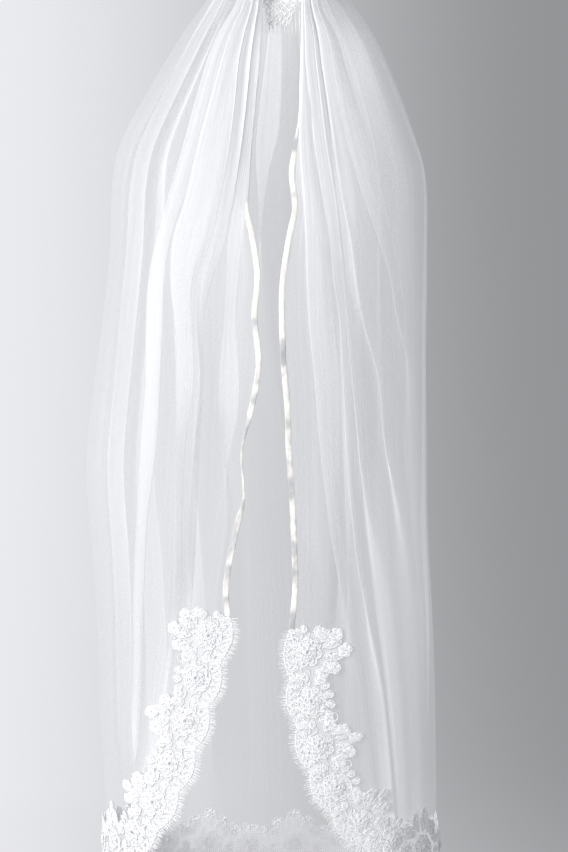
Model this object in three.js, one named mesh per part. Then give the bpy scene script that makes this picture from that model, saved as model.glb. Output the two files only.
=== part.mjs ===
// A one-tier bridal veil of soft white tulle, gathered on a hair comb. It falls in
// folds over the shoulders, open at the front, with satin ribbon down both front
// edges and scalloped floral lace round the lower corners and the hem.
//
// Millimetres, +Z up. The wearer faces -Y and +X is on the right from the front.
// The origin is the middle of the comb's bar, which is where the veil is pinned on.
//
// The cloth is one surface. "turn" goes round it: 0 is the left front edge, 1 the
// left side, 2 the middle of the back, 3 the right side and 4 the right front edge.
// "level" goes down it: 0 is the gathered header and each row of LEVELS adds 1.

import * as THREE from 'three';

// Driving dimensions
const TULLE_WALL = 1.5;
const TRIM_WALL = 1.2; // ribbon and lace
const TRIM_GAP = 2.3; // between the tulle and the trim that lies on it
const SEAM_GAP = 0.4; // between pieces that meet end to end
const RIBBON_WIDTH = 7;
const LACE_WIDTH = 74;
const MOTIF_PITCH = 62; // one flower and one scallop of the lace
const SCALLOP = 9; // how far a scallop stands out from the hem line
const ROUNDNESS = 0.75; // power of the sections: 1 is an ellipse, less is squarer
const FOLD_STEEPNESS = 0.13; // a fold stands out at most this share of its width
const COLUMNS_PER_FOLD = 4;
const BACK_FOLDS = 13;
const LOWER_ROWS = 10; // rows of facets between the neck and the hem

const COMB = { width: 72, height: 8, thick: 3, teeth: 14, toothWidth: 2.2, toothLength: 36 };
const FRILL = { left: -22, right: 28, top: 3.4, length: 40, taper: 0.62, wall: 1.2, spikes: 7 };

const WHITE_TULLE = { color: 0xf7f7f8, roughness: 0.9, metalness: 0 };
const WHITE_SATIN = { color: 0xf2efe9, roughness: 0.35, metalness: 0 };
const WHITE_LACE = { color: 0xf4f4f5, roughness: 0.8, metalness: 0 };
const CLEAR_COMB = { color: 0xe6e2da, roughness: 0.3, metalness: 0 };

// The sections of the cloth from the header down. left and right are how far the
// sides stand from the middle, yFront, yMid and yBack the depth of the front edges,
// of the sides and of the back, and the front edges may lie lower than the back.
const LEVELS = [
  { name: 'header', zFront: 4.4, zBack: 4.4, left: 34, right: 36, yFront: -3, yMid: 0, yBack: 3 },
  { name: 'rise', zFront: 24, zBack: 34, left: 42, right: 43, yFront: -6, yMid: 4, yBack: 16 },
  { name: 'crown', zFront: 30, zBack: 60, left: 58, right: 58, yFront: -12, yMid: 10, yBack: 46 },
  { name: 'ridge', zFront: 19, zBack: 64, left: 76, right: 75, yFront: -18, yMid: 18, yBack: 80 },
  { name: 'fall', zFront: -12, zBack: 28, left: 96, right: 95, yFront: -26, yMid: 26, yBack: 106 },
  { name: 'neck', zFront: -60, zBack: -50, left: 142, right: 141, yFront: -40, yMid: 32, yBack: 124 },
  { name: 'shoulder', zFront: -172, zBack: -172, left: 209, right: 189, yFront: -62, yMid: 34, yBack: 140 },
  { name: 'arm', zFront: -240, zBack: -240, left: 228, right: 208, yFront: -78, yMid: 32, yBack: 146 },
  { name: 'chest', zFront: -345, zBack: -345, left: 235, right: 209, yFront: -98, yMid: 30, yBack: 152 },
  { name: 'bust', zFront: -485, zBack: -485, left: 249, right: 209, yFront: -108, yMid: 31, yBack: 158 },
  { name: 'waist', zFront: -635, zBack: -635, left: 265, right: 210, yFront: -104, yMid: 34, yBack: 164 },
  { name: 'hip', zFront: -765, zBack: -765, left: 256, right: 212, yFront: -108, yMid: 35, yBack: 169 },
  { name: 'thigh', zFront: -900, zBack: -900, left: 250, right: 216, yFront: -111, yMid: 36, yBack: 174 },
  { name: 'knee', zFront: -1050, zBack: -1050, left: 246, right: 219, yFront: -113, yMid: 36, yBack: 178 },
  { name: 'hem', zFront: -1240, zBack: -1240, left: 240, right: 221, yFront: -114, yMid: 36, yBack: 182 },
];
const CROWN = 2; // the level at the top of the pouf
const NECK = 5; // the level where the pouf ends and the straight fall begins

// Where the two ribboned front edges hang, left and right of the middle.
const EDGES = [
  { z: 10, left: -22, right: 32 },
  { z: -97, left: -30, right: 30 },
  { z: -157, left: -33, right: 28 },
  { z: -203, left: -38, right: 20 },
  { z: -240, left: -41, right: 14 },
  { z: -290, left: -42, right: 18 },
  { z: -325, left: -34, right: 11 },
  { z: -386, left: -26, right: 2 },
  { z: -436, left: -30, right: 0 },
  { z: -505, left: -25, right: 2 },
  { z: -574, left: -38, right: 8 },
  { z: -621, left: -50, right: 10 },
  { z: -690, left: -47, right: 15 },
  { z: -737, left: -57, right: 17 },
  { z: -805, left: -69, right: 19 },
  { z: -860, left: -66, right: 15 },
  { z: -1240, left: -62, right: 13 },
];

// The main folds of the front panels: where each ridge runs, as a share of the way
// from the front edge (0) to the side (1), at the shoulder, chest, waist, hip and hem.
const FOLD_HEIGHTS = [-140, -310, -600, -855, -1190];
const LEFT_FOLDS = [
  { name: 'edge', shoulder: 0, chest: 0, waist: 0, hip: 0, hem: 0, depth: 0.5 },
  { name: 'inner', shoulder: 0.06, chest: 0.13, waist: 0.17, hip: 0.15, hem: 0.15, depth: 0.9 },
  { name: 'second', shoulder: 0.16, chest: 0.3, waist: 0.34, hip: 0.38, hem: 0.38, depth: 1 },
  { name: 'third', shoulder: 0.38, chest: 0.5, waist: 0.56, hip: 0.6, hem: 0.6, depth: 1 },
  { name: 'outer', shoulder: 0.66, chest: 0.75, waist: 0.79, hip: 0.81, hem: 0.82, depth: 0.8 },
];
const RIGHT_FOLDS = [
  { name: 'edge', shoulder: 0, chest: 0, waist: 0, hip: 0, hem: 0, depth: 0.5 },
  { name: 'inner', shoulder: 0.05, chest: 0.09, waist: 0.23, hip: 0.33, hem: 0.36, depth: 0.9 },
  { name: 'second', shoulder: 0.12, chest: 0.26, waist: 0.39, hip: 0.47, hem: 0.52, depth: 1 },
  { name: 'third', shoulder: 0.33, chest: 0.5, waist: 0.57, hip: 0.62, hem: 0.68, depth: 1 },
  { name: 'outer', shoulder: 0.61, chest: 0.71, waist: 0.78, hip: 0.81, hem: 0.83, depth: 0.8 },
];

// How far the folds stand out and in at each height, on the front panels and behind.
// The lace keeps the cloth flatter.
const FOLD_DEPTHS = [
  { z: 10, front: 1, back: 1 },
  { z: -60, front: 4.5, back: 4.5 },
  { z: -200, front: 7, back: 7 },
  { z: -500, front: 9, back: 9 },
  { z: -700, front: 6, back: 9 },
  { z: -800, front: 1.3, back: 7 },
  { z: -1060, front: 1, back: 2.6 },
  { z: -1240, front: 1, back: 2.6 },
];

// The hem rises from the sides to the ends of the ribbons round wide corners.
const HEM = { side: -1190, back: -1212, leftEdge: -850, rightEdge: -867 };

const mix = (a, b, share) => a + (b - a) * share;
const clamp = (value, low, high) => Math.min(Math.max(value, low), high);

// A smooth curve through a column of a table whose rows are placed by places.
function smooth(places, values, at) {
  const last = places.length - 1;
  const way = Math.sign(places[last] - places[0]);
  let i = 0;
  while (i < last - 1 && way * (at - places[i + 1]) > 0) i += 1;
  const slope = (k) => {
    const before = Math.max(k - 1, 0);
    const after = Math.min(k + 1, last);
    return (values[after] - values[before]) / (places[after] - places[before]);
  };
  const step = places[i + 1] - places[i];
  const t = clamp((at - places[i]) / step, 0, 1);
  const lift = (3 - 2 * t) * t * t;
  return mix(values[i], values[i + 1], lift)
    + slope(i) * step * t * (1 - t) * (1 - t)
    - slope(i + 1) * step * t * t * (1 - t);
}

const column = (rows, name) => rows.map((row) => row[name]);
const LEVEL_PLACES = LEVELS.map((row, i) => i);
const levelValue = (name, level) => smooth(LEVEL_PLACES, column(LEVELS, name), level);
const edgeAt = (name, z) => smooth(column(EDGES, 'z'), column(EDGES, name), z);
const foldDepth = (name, z) => smooth(column(FOLD_DEPTHS, 'z'), column(FOLD_DEPTHS, name), z);

// The level whose front edge lies at a height, below the neck.
function levelAtHeight(z) {
  let high = NECK;
  let low = LEVELS.length - 1;
  for (let i = 0; i < 30; i += 1) {
    const half = (high + low) / 2;
    if (levelValue('zFront', half) > z) high = half;
    else low = half;
  }
  return (high + low) / 2;
}

// The cloth without its folds.
function section(level, turn) {
  const onLeft = turn <= 2;
  const way = onLeft ? turn : 4 - turn; // 0 at the front edge, 1 at the side, 2 at the back
  const zFront = levelValue('zFront', level);
  const edge = edgeAt(onLeft ? 'left' : 'right', zFront);
  const side = onLeft ? -levelValue('left', level) : levelValue('right', level);
  const yMid = levelValue('yMid', level);
  const angle = (way <= 1 ? way : way - 1) * Math.PI / 2;
  const out = Math.abs(Math.sin(angle)) ** ROUNDNESS;
  const along = Math.abs(Math.cos(angle)) ** ROUNDNESS;
  const frontness = ((1 + Math.cos(way * Math.PI / 2)) / 2) ** 1.1;
  const z = mix(levelValue('zBack', level), zFront, frontness);
  if (way <= 1) {
    return new THREE.Vector3(
      mix(edge, side, out), mix(yMid, levelValue('yFront', level), along), z);
  }
  return new THREE.Vector3(side * along, mix(yMid, levelValue('yBack', level), out), z);
}

const turnAtShare = (share) => Math.asin(clamp(share, 0, 1) ** (1 / ROUNDNESS)) * 2 / Math.PI;

// Where every ridge lies at a level, in turns, and how far it stands out.
const ridgeRows = new Map();
function ridgesAt(level) {
  if (ridgeRows.has(level)) return ridgeRows.get(level);
  const z = levelValue('zFront', level);
  const height = clamp(z, FOLD_HEIGHTS[FOLD_HEIGHTS.length - 1], FOLD_HEIGHTS[0]);
  const frontRidge = ({ shoulder, chest, waist, hip, hem, depth }) => ({
    turn: turnAtShare(smooth(FOLD_HEIGHTS, [shoulder, chest, waist, hip, hem], height)),
    stand: depth * foldDepth('front', z),
  });
  const back = Array.from({ length: BACK_FOLDS }, (_, i) => ({
    turn: mix(0.98, 3.02, i / (BACK_FOLDS - 1)),
    stand: foldDepth('back', z),
  }));
  const right = RIGHT_FOLDS.map(frontRidge).reverse();
  const ridges = [
    ...LEFT_FOLDS.map(frontRidge), ...back,
    ...right.map(({ turn, stand }) => ({ turn: 4 - turn, stand }))];
  const points = ridges.map(({ turn }) => section(level, turn));
  ridges.forEach((ridge, i) => {
    for (const next of [points[i - 1], points[i + 1]]) {
      if (next) ridge.stand = Math.min(ridge.stand, FOLD_STEEPNESS * points[i].distanceTo(next));
    }
  });
  ridgeRows.set(level, ridges);
  return ridges;
}
const FOLDS = LEFT_FOLDS.length + BACK_FOLDS + RIGHT_FOLDS.length - 1;

// A place round the cloth as a fold number, which is whole on a ridge, and back.
function foldNumberAt(level, turn) {
  const ridges = ridgesAt(level);
  let i = 0;
  while (i < ridges.length - 2 && turn > ridges[i + 1].turn) i += 1;
  const width = ridges[i + 1].turn - ridges[i].turn;
  return i + clamp((turn - ridges[i].turn) / width, 0, 1);
}
function turnOfFold(level, number) {
  const ridges = ridgesAt(level);
  const i = Math.min(Math.floor(number), ridges.length - 2);
  return mix(ridges[i].turn, ridges[i + 1].turn, number - i);
}
function foldStand(level, number) {
  const ridges = ridgesAt(level);
  const i = Math.min(Math.floor(number), ridges.length - 2);
  const stand = mix(ridges[i].stand, ridges[i + 1].stand, number - i);
  return stand * Math.cos(2 * Math.PI * number);
}

const TURN_STEP = 0.01;
const LEVEL_STEP = 0.02;
function outward(place, level, turn) {
  const turnBefore = clamp(turn - TURN_STEP, 0, 4);
  const turnAfter = clamp(turn + TURN_STEP, 0, 4);
  const levelBefore = Math.max(level - LEVEL_STEP, 0);
  const levelAfter = Math.min(level + LEVEL_STEP, LEVELS.length - 1);
  const round = place(level, turnAfter).sub(place(level, turnBefore));
  const down = place(levelAfter, turn).sub(place(levelBefore, turn));
  return round.cross(down).normalize();
}
function cloth(level, turn) {
  const point = section(level, turn);
  const stand = foldStand(level, foldNumberAt(level, turn));
  return point.addScaledVector(outward(section, level, turn), stand);
}

// A closed sheet from rows of middle points and the way each faces.
function sheet(rows, wall) {
  const height = rows.length;
  const width = rows[0].length;
  const positions = [];
  const triangles = [];
  for (const half of [wall / 2, -wall / 2]) {
    for (const row of rows) {
      for (const { point, facing } of row) {
        positions.push(...point.clone().addScaledVector(facing, half).toArray());
      }
    }
  }
  const outer = (r, c) => r * width + c;
  const inner = (r, c) => height * width + outer(r, c);
  const quad = (a, b, c, d) => triangles.push(a, b, c, a, c, d);
  for (let r = 0; r < height - 1; r += 1) {
    for (let c = 0; c < width - 1; c += 1) {
      quad(outer(r, c), outer(r + 1, c), outer(r + 1, c + 1), outer(r, c + 1));
      quad(inner(r, c), inner(r, c + 1), inner(r + 1, c + 1), inner(r + 1, c));
    }
    quad(outer(r, 0), inner(r, 0), inner(r + 1, 0), outer(r + 1, 0));
    quad(outer(r + 1, width - 1), inner(r + 1, width - 1), inner(r, width - 1), outer(r, width - 1));
  }
  for (let c = 0; c < width - 1; c += 1) {
    quad(outer(0, c + 1), inner(0, c + 1), inner(0, c), outer(0, c));
    quad(outer(height - 1, c), inner(height - 1, c), inner(height - 1, c + 1), outer(height - 1, c + 1));
  }
  const geometry = new THREE.BufferGeometry();
  geometry.setAttribute('position', new THREE.Float32BufferAttribute(positions, 3));
  geometry.setIndex(volumeOf(positions, triangles) > 0 ? triangles : triangles.reverse());
  geometry.computeVertexNormals();
  return geometry;
}
function volumeOf(positions, triangles) {
  const at = (i) => new THREE.Vector3().fromArray(positions, 3 * i);
  let volume = 0;
  for (let i = 0; i < triangles.length; i += 3) {
    const [a, b, c] = [at(triangles[i]), at(triangles[i + 1]), at(triangles[i + 2])];
    volume += a.dot(b.cross(c)) / 6;
  }
  return volume;
}

// The hem line, as a height for each turn.
function hemHeight(turn) {
  const onLeft = turn <= 2;
  const way = onLeft ? turn : 4 - turn;
  if (way > 1) return mix(HEM.side, HEM.back, Math.sin((way - 1) * Math.PI / 2) ** 2);
  const rest = 1 - Math.sin(way * Math.PI / 2) ** ROUNDNESS; // share of the panel to the side
  if (onLeft) return mix(HEM.leftEdge, HEM.side, 1 - rest ** 2.3);
  return mix(HEM.rightEdge, HEM.side, (1 - rest ** 2.5) ** 0.45);
}

// The tulle: each line of facets down the cloth keeps to its place in a fold.
function tulleGeometry() {
  const neckHeight = levelValue('zFront', NECK);
  const columns = FOLDS * COLUMNS_PER_FOLD;
  const rows = Array.from({ length: NECK + LOWER_ROWS + 1 }, () => []);
  for (let c = 0; c <= columns; c += 1) {
    const number = c / COLUMNS_PER_FOLD;
    let hem = HEM.side;
    for (let i = 0; i < 30; i += 1) {
      hem = mix(hem, hemHeight(turnOfFold(levelAtHeight(hem), number)), 0.5);
    }
    rows.forEach((row, r) => {
      const lower = Math.max(r - NECK, 0) / LOWER_ROWS;
      const level = r <= NECK ? r : levelAtHeight(mix(neckHeight, hem, lower));
      const turn = turnOfFold(level, number);
      row.push({ point: cloth(level, turn), facing: outward(cloth, level, turn) });
    });
  }
  return sheet(rows, TULLE_WALL);
}

const trimStand = TULLE_WALL / 2 + TRIM_GAP + TRIM_WALL / 2;

// A ribbon lies on the cloth's front edge from the top of the pouf to the lace.
function ribbonGeometry(turn, end) {
  const neckHeight = levelValue('zFront', NECK);
  const lowerSteps = 30;
  const levels = [CROWN, CROWN + 1, CROWN + 2];
  for (let i = 0; i <= lowerSteps; i += 1) {
    levels.push(levelAtHeight(mix(neckHeight, end, i / lowerSteps)));
  }
  const rows = levels.map((level) => {
    const facing = outward(cloth, level, turn);
    const middle = cloth(level, turn).addScaledVector(facing, trimStand);
    return [1, -1].map((way) => ({
      point: middle.clone().add(new THREE.Vector3(way * RIBBON_WIDTH / 2, 0, 0)), facing,
    }));
  });
  return sheet(rows, TRIM_WALL);
}

// Distances round the cloth at a height, without the folds.
const ARC_STEPS = 160;
const arcTables = new Map();
function arcTable(z) {
  const key = Math.round(z);
  if (!arcTables.has(key)) {
    const level = levelAtHeight(key);
    const arcs = [0];
    let before = section(level, 0);
    for (let i = 1; i <= ARC_STEPS; i += 1) {
      const point = section(level, 4 * i / ARC_STEPS);
      arcs.push(arcs[i - 1] + point.distanceTo(before));
      before = point;
    }
    arcTables.set(key, arcs);
  }
  return arcTables.get(key);
}
function arcAt(z, turn) {
  const arcs = arcTable(z);
  const i = Math.min(Math.floor(turn / 4 * ARC_STEPS), ARC_STEPS - 1);
  return mix(arcs[i], arcs[i + 1], turn / 4 * ARC_STEPS - i);
}
function turnAtArc(z, arc) {
  const arcs = arcTable(z);
  let i = 0;
  while (i < ARC_STEPS - 1 && arcs[i + 1] < arc) i += 1;
  return clamp((i + (arc - arcs[i]) / (arcs[i + 1] - arcs[i])) * 4 / ARC_STEPS, 0, 4);
}

// A length of lace along the hem between two turns. The cloth is laid out flat, with
// x measured round it from the side, so that the band keeps its width.
const BEHIND = arcAt(HEM.side, 3) - arcAt(HEM.side, 1);
function flatScale(z, from) {
  return from === 1 ? BEHIND / (arcAt(z, 3) - arcAt(z, 1)) : 1;
}
function flatSpot(turn, z, from) {
  const start = from === 3 ? 3 : 1;
  return new THREE.Vector2((arcAt(z, turn) - arcAt(z, start)) * flatScale(z, from), z);
}
function laceGeometry(from, to) {
  const fine = 400;
  const line = Array.from({ length: fine + 1 }, (_, i) => {
    const turn = mix(from, to, i / fine);
    return flatSpot(turn, hemHeight(turn), from);
  });
  const lengths = [0];
  for (let i = 1; i <= fine; i += 1) lengths.push(lengths[i - 1] + line[i].distanceTo(line[i - 1]));
  const total = lengths[fine];
  const motifs = Math.round(total / MOTIF_PITCH);
  const steps = motifs * 5;
  const across = from === 1 ? 4 : 6;
  const rows = Array.from({ length: across + 1 }, () => []);
  for (let s = 0; s <= steps; s += 1) {
    const along = clamp(total * s / steps, SEAM_GAP, total - SEAM_GAP);
    let i = 0;
    while (i < fine - 1 && lengths[i + 1] < along) i += 1;
    const at = line[i].clone().lerp(line[i + 1], (along - lengths[i]) / (lengths[i + 1] - lengths[i]));
    const ahead = line[Math.min(i + 8, fine)].clone().sub(line[Math.max(i - 8, 0)]).normalize();
    const inward = new THREE.Vector2(-ahead.y, ahead.x);
    const beat = along / total * motifs;
    const cut = -SCALLOP * Math.abs(Math.sin(Math.PI * beat));
    const leaves = LACE_WIDTH + 8 * Math.sin(2 * Math.PI * beat) + 5 * Math.sin(3.7 * Math.PI * beat);
    for (let r = 0; r <= across; r += 1) {
      const spot = at.clone().addScaledVector(inward, mix(leaves, cut, r / across));
      rows[r].push(laceSpot(spot, from));
    }
  }
  return sheet(rows, TRIM_WALL);
}
function laceSpot(spot, from) {
  const z = spot.y;
  const level = levelAtHeight(z);
  const start = from === 3 ? 3 : 1;
  const arc = spot.x / flatScale(z, from) + arcAt(z, start);
  const whole = arcAt(z, 4);
  const turn = turnAtArc(z, clamp(arc, 0, whole));
  const past = arc < 0 ? -arc : Math.min(whole - arc, 0);
  const facing = outward(cloth, level, turn);
  const point = cloth(level, turn).addScaledVector(facing, trimStand);
  point.x += past;
  return { point, facing };
}

// The raw end of the gathered tulle hangs in front of the comb, rippled, in points.
function frillGeometry() {
  const columns = FRILL.spikes * 4;
  const rows = [0, 0.35, 0.7, 1].map((down) => Array.from({ length: columns + 1 }, (_, c) => {
    const share = c / columns;
    const narrow = mix(1, FRILL.taper, down);
    const middle = (FRILL.left + FRILL.right) / 2;
    const point = Math.abs(((share * FRILL.spikes) % 1) - 0.5) * 2; // 1 between two spikes
    const length = FRILL.length * (1 - 0.22 * point) * (0.8 + 0.2 * Math.sin(Math.PI * share));
    const ripple = 1.1 * down * Math.cos(2 * Math.PI * FRILL.spikes * share);
    return {
      point: new THREE.Vector3(
        middle + (share - 0.5) * (FRILL.right - FRILL.left) * narrow,
        -COMB.thick / 2 - SEAM_GAP - FRILL.wall / 2 - 1.4 - ripple,
        FRILL.top - length * down),
      facing: new THREE.Vector3(0, -1, 0),
    };
  }));
  return sheet(rows, FRILL.wall);
}

// A flat comb: a bar with rounded ends and a row of tapering teeth below it.
function combGeometry() {
  const { width, height, thick, teeth, toothWidth, toothLength } = COMB;
  const half = width / 2;
  const corner = height / 3;
  const pitch = (width - toothWidth - 2) / (teeth - 1);
  const outline = new THREE.Shape();
  outline.moveTo(-half, -height / 2);
  for (let i = 0; i < teeth; i += 1) {
    const x = -half + 1 + toothWidth / 2 + i * pitch;
    outline.lineTo(x - toothWidth / 2, -height / 2);
    outline.lineTo(x - toothWidth / 3, -height / 2 - toothLength + toothWidth);
    outline.lineTo(x, -height / 2 - toothLength);
    outline.lineTo(x + toothWidth / 3, -height / 2 - toothLength + toothWidth);
    outline.lineTo(x + toothWidth / 2, -height / 2);
  }
  outline.lineTo(half, -height / 2);
  outline.lineTo(half, height / 2 - corner);
  outline.absarc(half - corner, height / 2 - corner, corner, 0, Math.PI / 2, false);
  outline.absarc(-half + corner, height / 2 - corner, corner, Math.PI / 2, Math.PI, false);
  const geometry = new THREE.ExtrudeGeometry(outline, { depth: thick, bevelEnabled: false, curveSegments: 4 });
  geometry.translate(0, 0, -thick / 2);
  geometry.rotateX(Math.PI / 2);
  return geometry;
}

function piece(name, geometry, finish) {
  const mesh = new THREE.Mesh(geometry, new THREE.MeshStandardMaterial(finish));
  mesh.name = name;
  return mesh;
}

const veil = new THREE.Group();
veil.name = 'bridal_veil';
veil.add(piece('comb', combGeometry(), CLEAR_COMB));
veil.add(piece('header_frill', frillGeometry(), WHITE_TULLE));
veil.add(piece('tulle_veil', tulleGeometry(), WHITE_TULLE));
veil.add(piece('ribbon_left', ribbonGeometry(0, HEM.leftEdge + 12), WHITE_SATIN));
veil.add(piece('ribbon_right', ribbonGeometry(4, HEM.rightEdge + 12), WHITE_SATIN));
veil.add(piece('lace_front_left', laceGeometry(0, 1), WHITE_LACE));
veil.add(piece('lace_hem_back', laceGeometry(1, 3), WHITE_LACE));
veil.add(piece('lace_front_right', laceGeometry(3, 4), WHITE_LACE));

export default veil;
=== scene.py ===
# %% [markdown]
# # A lace bridal veil
# One tier of soft tulle is gathered on a hair comb and falls open at the front. Satin
# ribbon binds the two front edges, and corded lace with a scalloped, lashed edge runs
# round the lower corners and the hem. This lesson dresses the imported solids: every
# piece is measured from the same few tables as they are, and is laid in the same place.

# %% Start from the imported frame
import math

import bpy
import numpy as np
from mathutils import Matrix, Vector


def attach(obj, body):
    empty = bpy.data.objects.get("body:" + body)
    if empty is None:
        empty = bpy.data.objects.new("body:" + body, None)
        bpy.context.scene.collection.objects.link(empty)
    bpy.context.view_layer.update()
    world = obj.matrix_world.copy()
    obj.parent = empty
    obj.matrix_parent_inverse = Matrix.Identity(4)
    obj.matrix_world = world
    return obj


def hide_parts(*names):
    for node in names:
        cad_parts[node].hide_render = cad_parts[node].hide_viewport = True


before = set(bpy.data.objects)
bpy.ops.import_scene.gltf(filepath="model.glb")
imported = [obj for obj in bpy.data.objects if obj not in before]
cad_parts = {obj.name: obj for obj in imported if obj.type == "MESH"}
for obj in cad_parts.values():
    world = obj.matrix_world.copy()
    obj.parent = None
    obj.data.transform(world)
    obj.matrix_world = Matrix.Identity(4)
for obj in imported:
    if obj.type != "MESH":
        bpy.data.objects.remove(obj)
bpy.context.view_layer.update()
MM = 0.001
rng = np.random.default_rng(7)
print("the solids:", sorted(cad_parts))

# %% [markdown]
# ## The room
# A veil is photographed in a pale studio: one wide soft light on the left, and little on
# the right, so that the left side is almost white and the right side falls to grey. The
# backdrop is a big round bowl, so that it stands behind the veil from every side. It is
# hidden from bounced light, which leaves the soft light from all round as it is.

# %% Colours, materials and one function for nodes
def linear(hex_colour):
    """An sRGB hex colour as the linear colour that a shader takes."""
    parts = [int(hex_colour[i : i + 2], 16) / 255 for i in (1, 3, 5)]
    return tuple(c / 12.92 if c <= 0.04045 else ((c + 0.055) / 1.055) ** 2.4 for c in parts) + (1,)


def add_node(tree, kind, settings=(), **inputs):
    """Adds a node. Its inputs, named or i0, i1 and so on, are values or other nodes' sockets."""
    node = tree.nodes.new(kind)
    for name, value in dict(settings).items():
        setattr(node, name, value)
    for name, value in inputs.items():
        place = int(name[1:]) if name[0] == "i" and name[1:].isdigit() else name.replace("_", " ")
        socket = node.inputs[place]
        if isinstance(value, bpy.types.NodeSocket):
            tree.links.new(value, socket)
        else:
            socket.default_value = value
    return node


def new_material(name):
    """A material with its Principled shader, ready for nodes."""
    material = bpy.data.materials.new(name)
    material.use_nodes = True
    tree = material.node_tree
    return material, tree, tree.nodes["Principled BSDF"]


# %% Grids of points as meshes
def grid_faces(rows, columns, closed=False):
    """The faces between the points of a grid. A closed grid's last column meets its first."""
    index = np.arange(rows * columns).reshape(rows, columns)
    if closed:
        index = np.hstack([index, index[:, :1]])
    return np.stack([index[:-1, :-1], index[:-1, 1:], index[1:, 1:], index[1:, :-1]], -1).reshape(-1, 4)


def new_object(name, data):
    """An object at the origin, unturned. A mesh has its place in its points."""
    made = bpy.data.objects.new(name, data)
    bpy.context.collection.objects.link(made)
    return made


# %% The bowl
FLOOR = -1.75  # m, for a veil pinned at the height of a head
BOWL_RADIUS = 9.5  # m
BOWL_CORNER = 3.0  # m
BOWL_TOP = 7.0  # m
BOWL_SIDES = 96
BACKDROP = "#2E2F31"
BACKDROP_LIGHT = "#D9DADD"
BACKDROP_GLOW = (0.39, 1.17)  # the backdrop has its own light, more of it on the side of the key light
GLOW_FROM = (1.15, -1.35)  # m along X
GLOW_FADES = (-2.2, -5.0)  # m along X: it falls off beyond, so that the veil shows from the side too
FADED_GLOW = 0.52


def make_bowl():
    """A floor that curves up into a round wall, turned from its profile."""
    corner = [
        (BOWL_RADIUS - BOWL_CORNER * (1 - math.sin(a)), FLOOR + BOWL_CORNER * (1 - math.cos(a)))
        for a in np.linspace(0, math.pi / 2, 13)
    ]
    profile = [(0.0, FLOOR), *corner, (BOWL_RADIUS, BOWL_TOP)]
    turn = np.linspace(0, 2 * math.pi, BOWL_SIDES, endpoint=False)
    points = [(r * math.cos(a), r * math.sin(a), z) for r, z in profile for a in turn]
    mesh = bpy.data.meshes.new("backdrop")
    mesh.from_pydata(points, [], grid_faces(len(profile), BOWL_SIDES, closed=True).tolist())
    mesh.shade_smooth()
    return new_object("backdrop", mesh)


paper, tree, shader = new_material("matt backdrop paper")
shader.inputs["Base Color"].default_value = linear(BACKDROP)
shader.inputs["Roughness"].default_value = 0.95
shader.inputs["Emission Color"].default_value = linear(BACKDROP_LIGHT)
place = add_node(tree, "ShaderNodeTexCoord").outputs["Object"]
along = add_node(tree, "ShaderNodeSeparateXYZ", Vector=place).outputs["X"]
glow = add_node(
    tree, "ShaderNodeMapRange", {"interpolation_type": "SMOOTHSTEP"},
    i0=along, i1=GLOW_FROM[0], i2=GLOW_FROM[1], i3=BACKDROP_GLOW[0], i4=BACKDROP_GLOW[1]).outputs[0]
fading = add_node(
    tree, "ShaderNodeMapRange", {"interpolation_type": "SMOOTHSTEP"},
    i0=along, i1=GLOW_FADES[0], i2=GLOW_FADES[1], i3=1.0, i4=FADED_GLOW).outputs[0]
own_light = add_node(tree, "ShaderNodeMath", {"operation": "MULTIPLY"}, i0=glow, i1=fading)
tree.links.new(own_light.outputs[0], shader.inputs["Emission Strength"])
bowl = make_bowl()
bowl.data.materials.append(paper)
bowl.visible_diffuse = False
bowl.visible_shadow = False

# %% The lights
SOFT_BOXES = (  # name, place in m, size in m and watts of each square soft box
    ("key", (-3.1, -3.0, 0.4), 2.4, 215),
    ("fill", (2.8, -3.4, 0.3), 3.0, 18),
    ("back", (-1.9, 4.2, 0.9), 2.4, 90),  # so that the veil isn't a shadow from behind
)
LIGHTS_AIM = Vector((0.0, 0.0, -0.6))  # m, the middle of the veil
ROOM_COLOUR = "#F4F6FA"
ROOM_STRENGTH = 0.46

for name, place, size, watts in SOFT_BOXES:
    light = bpy.data.lights.new(name, "AREA")
    light.shape, light.size, light.energy = "SQUARE", size, watts
    lamp = new_object(name, light)
    lamp.location = place
    lamp.rotation_euler = (LIGHTS_AIM - Vector(place)).to_track_quat("-Z", "Y").to_euler()
world = bpy.data.worlds.new("soft room")
world.use_nodes = True
world.node_tree.nodes["Background"].inputs["Color"].default_value = linear(ROOM_COLOUR)
world.node_tree.nodes["Background"].inputs["Strength"].default_value = ROOM_STRENGTH
scene = bpy.context.scene
scene.world = world
scene.view_settings.view_transform = "Standard"
scene.cycles.transparent_max_bounces = 48  # a sight line through the pouf meets many layers of net

# %% The camera, level with the middle of the picture
PIXEL = 1.38  # mm of the veil for each pixel of the photograph
PICTURE = (568, 852)
MIDDLE_PIXEL = 279  # the pixel column of the comb's middle
CAMERA_DISTANCE = 5.0  # m
SIZED_AT = -0.055  # m, the depth at which PIXEL holds
SENSOR = 36.0  # mm

camera_data = bpy.data.cameras.new("camera")
camera_data.sensor_fit = "VERTICAL"
camera_data.sensor_height = SENSOR
camera_data.lens = SENSOR * (CAMERA_DISTANCE + SIZED_AT) / (PICTURE[1] * PIXEL * MM)
camera = new_object("camera", camera_data)
camera.location = (
    (PICTURE[0] / 2 - MIDDLE_PIXEL) * PIXEL * MM, -CAMERA_DISTANCE, -PICTURE[1] / 2 * PIXEL * MM)
camera.rotation_euler = (math.pi / 2, 0, 0)
scene.camera = camera
print("lens, mm:", round(camera_data.lens, 1))

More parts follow.
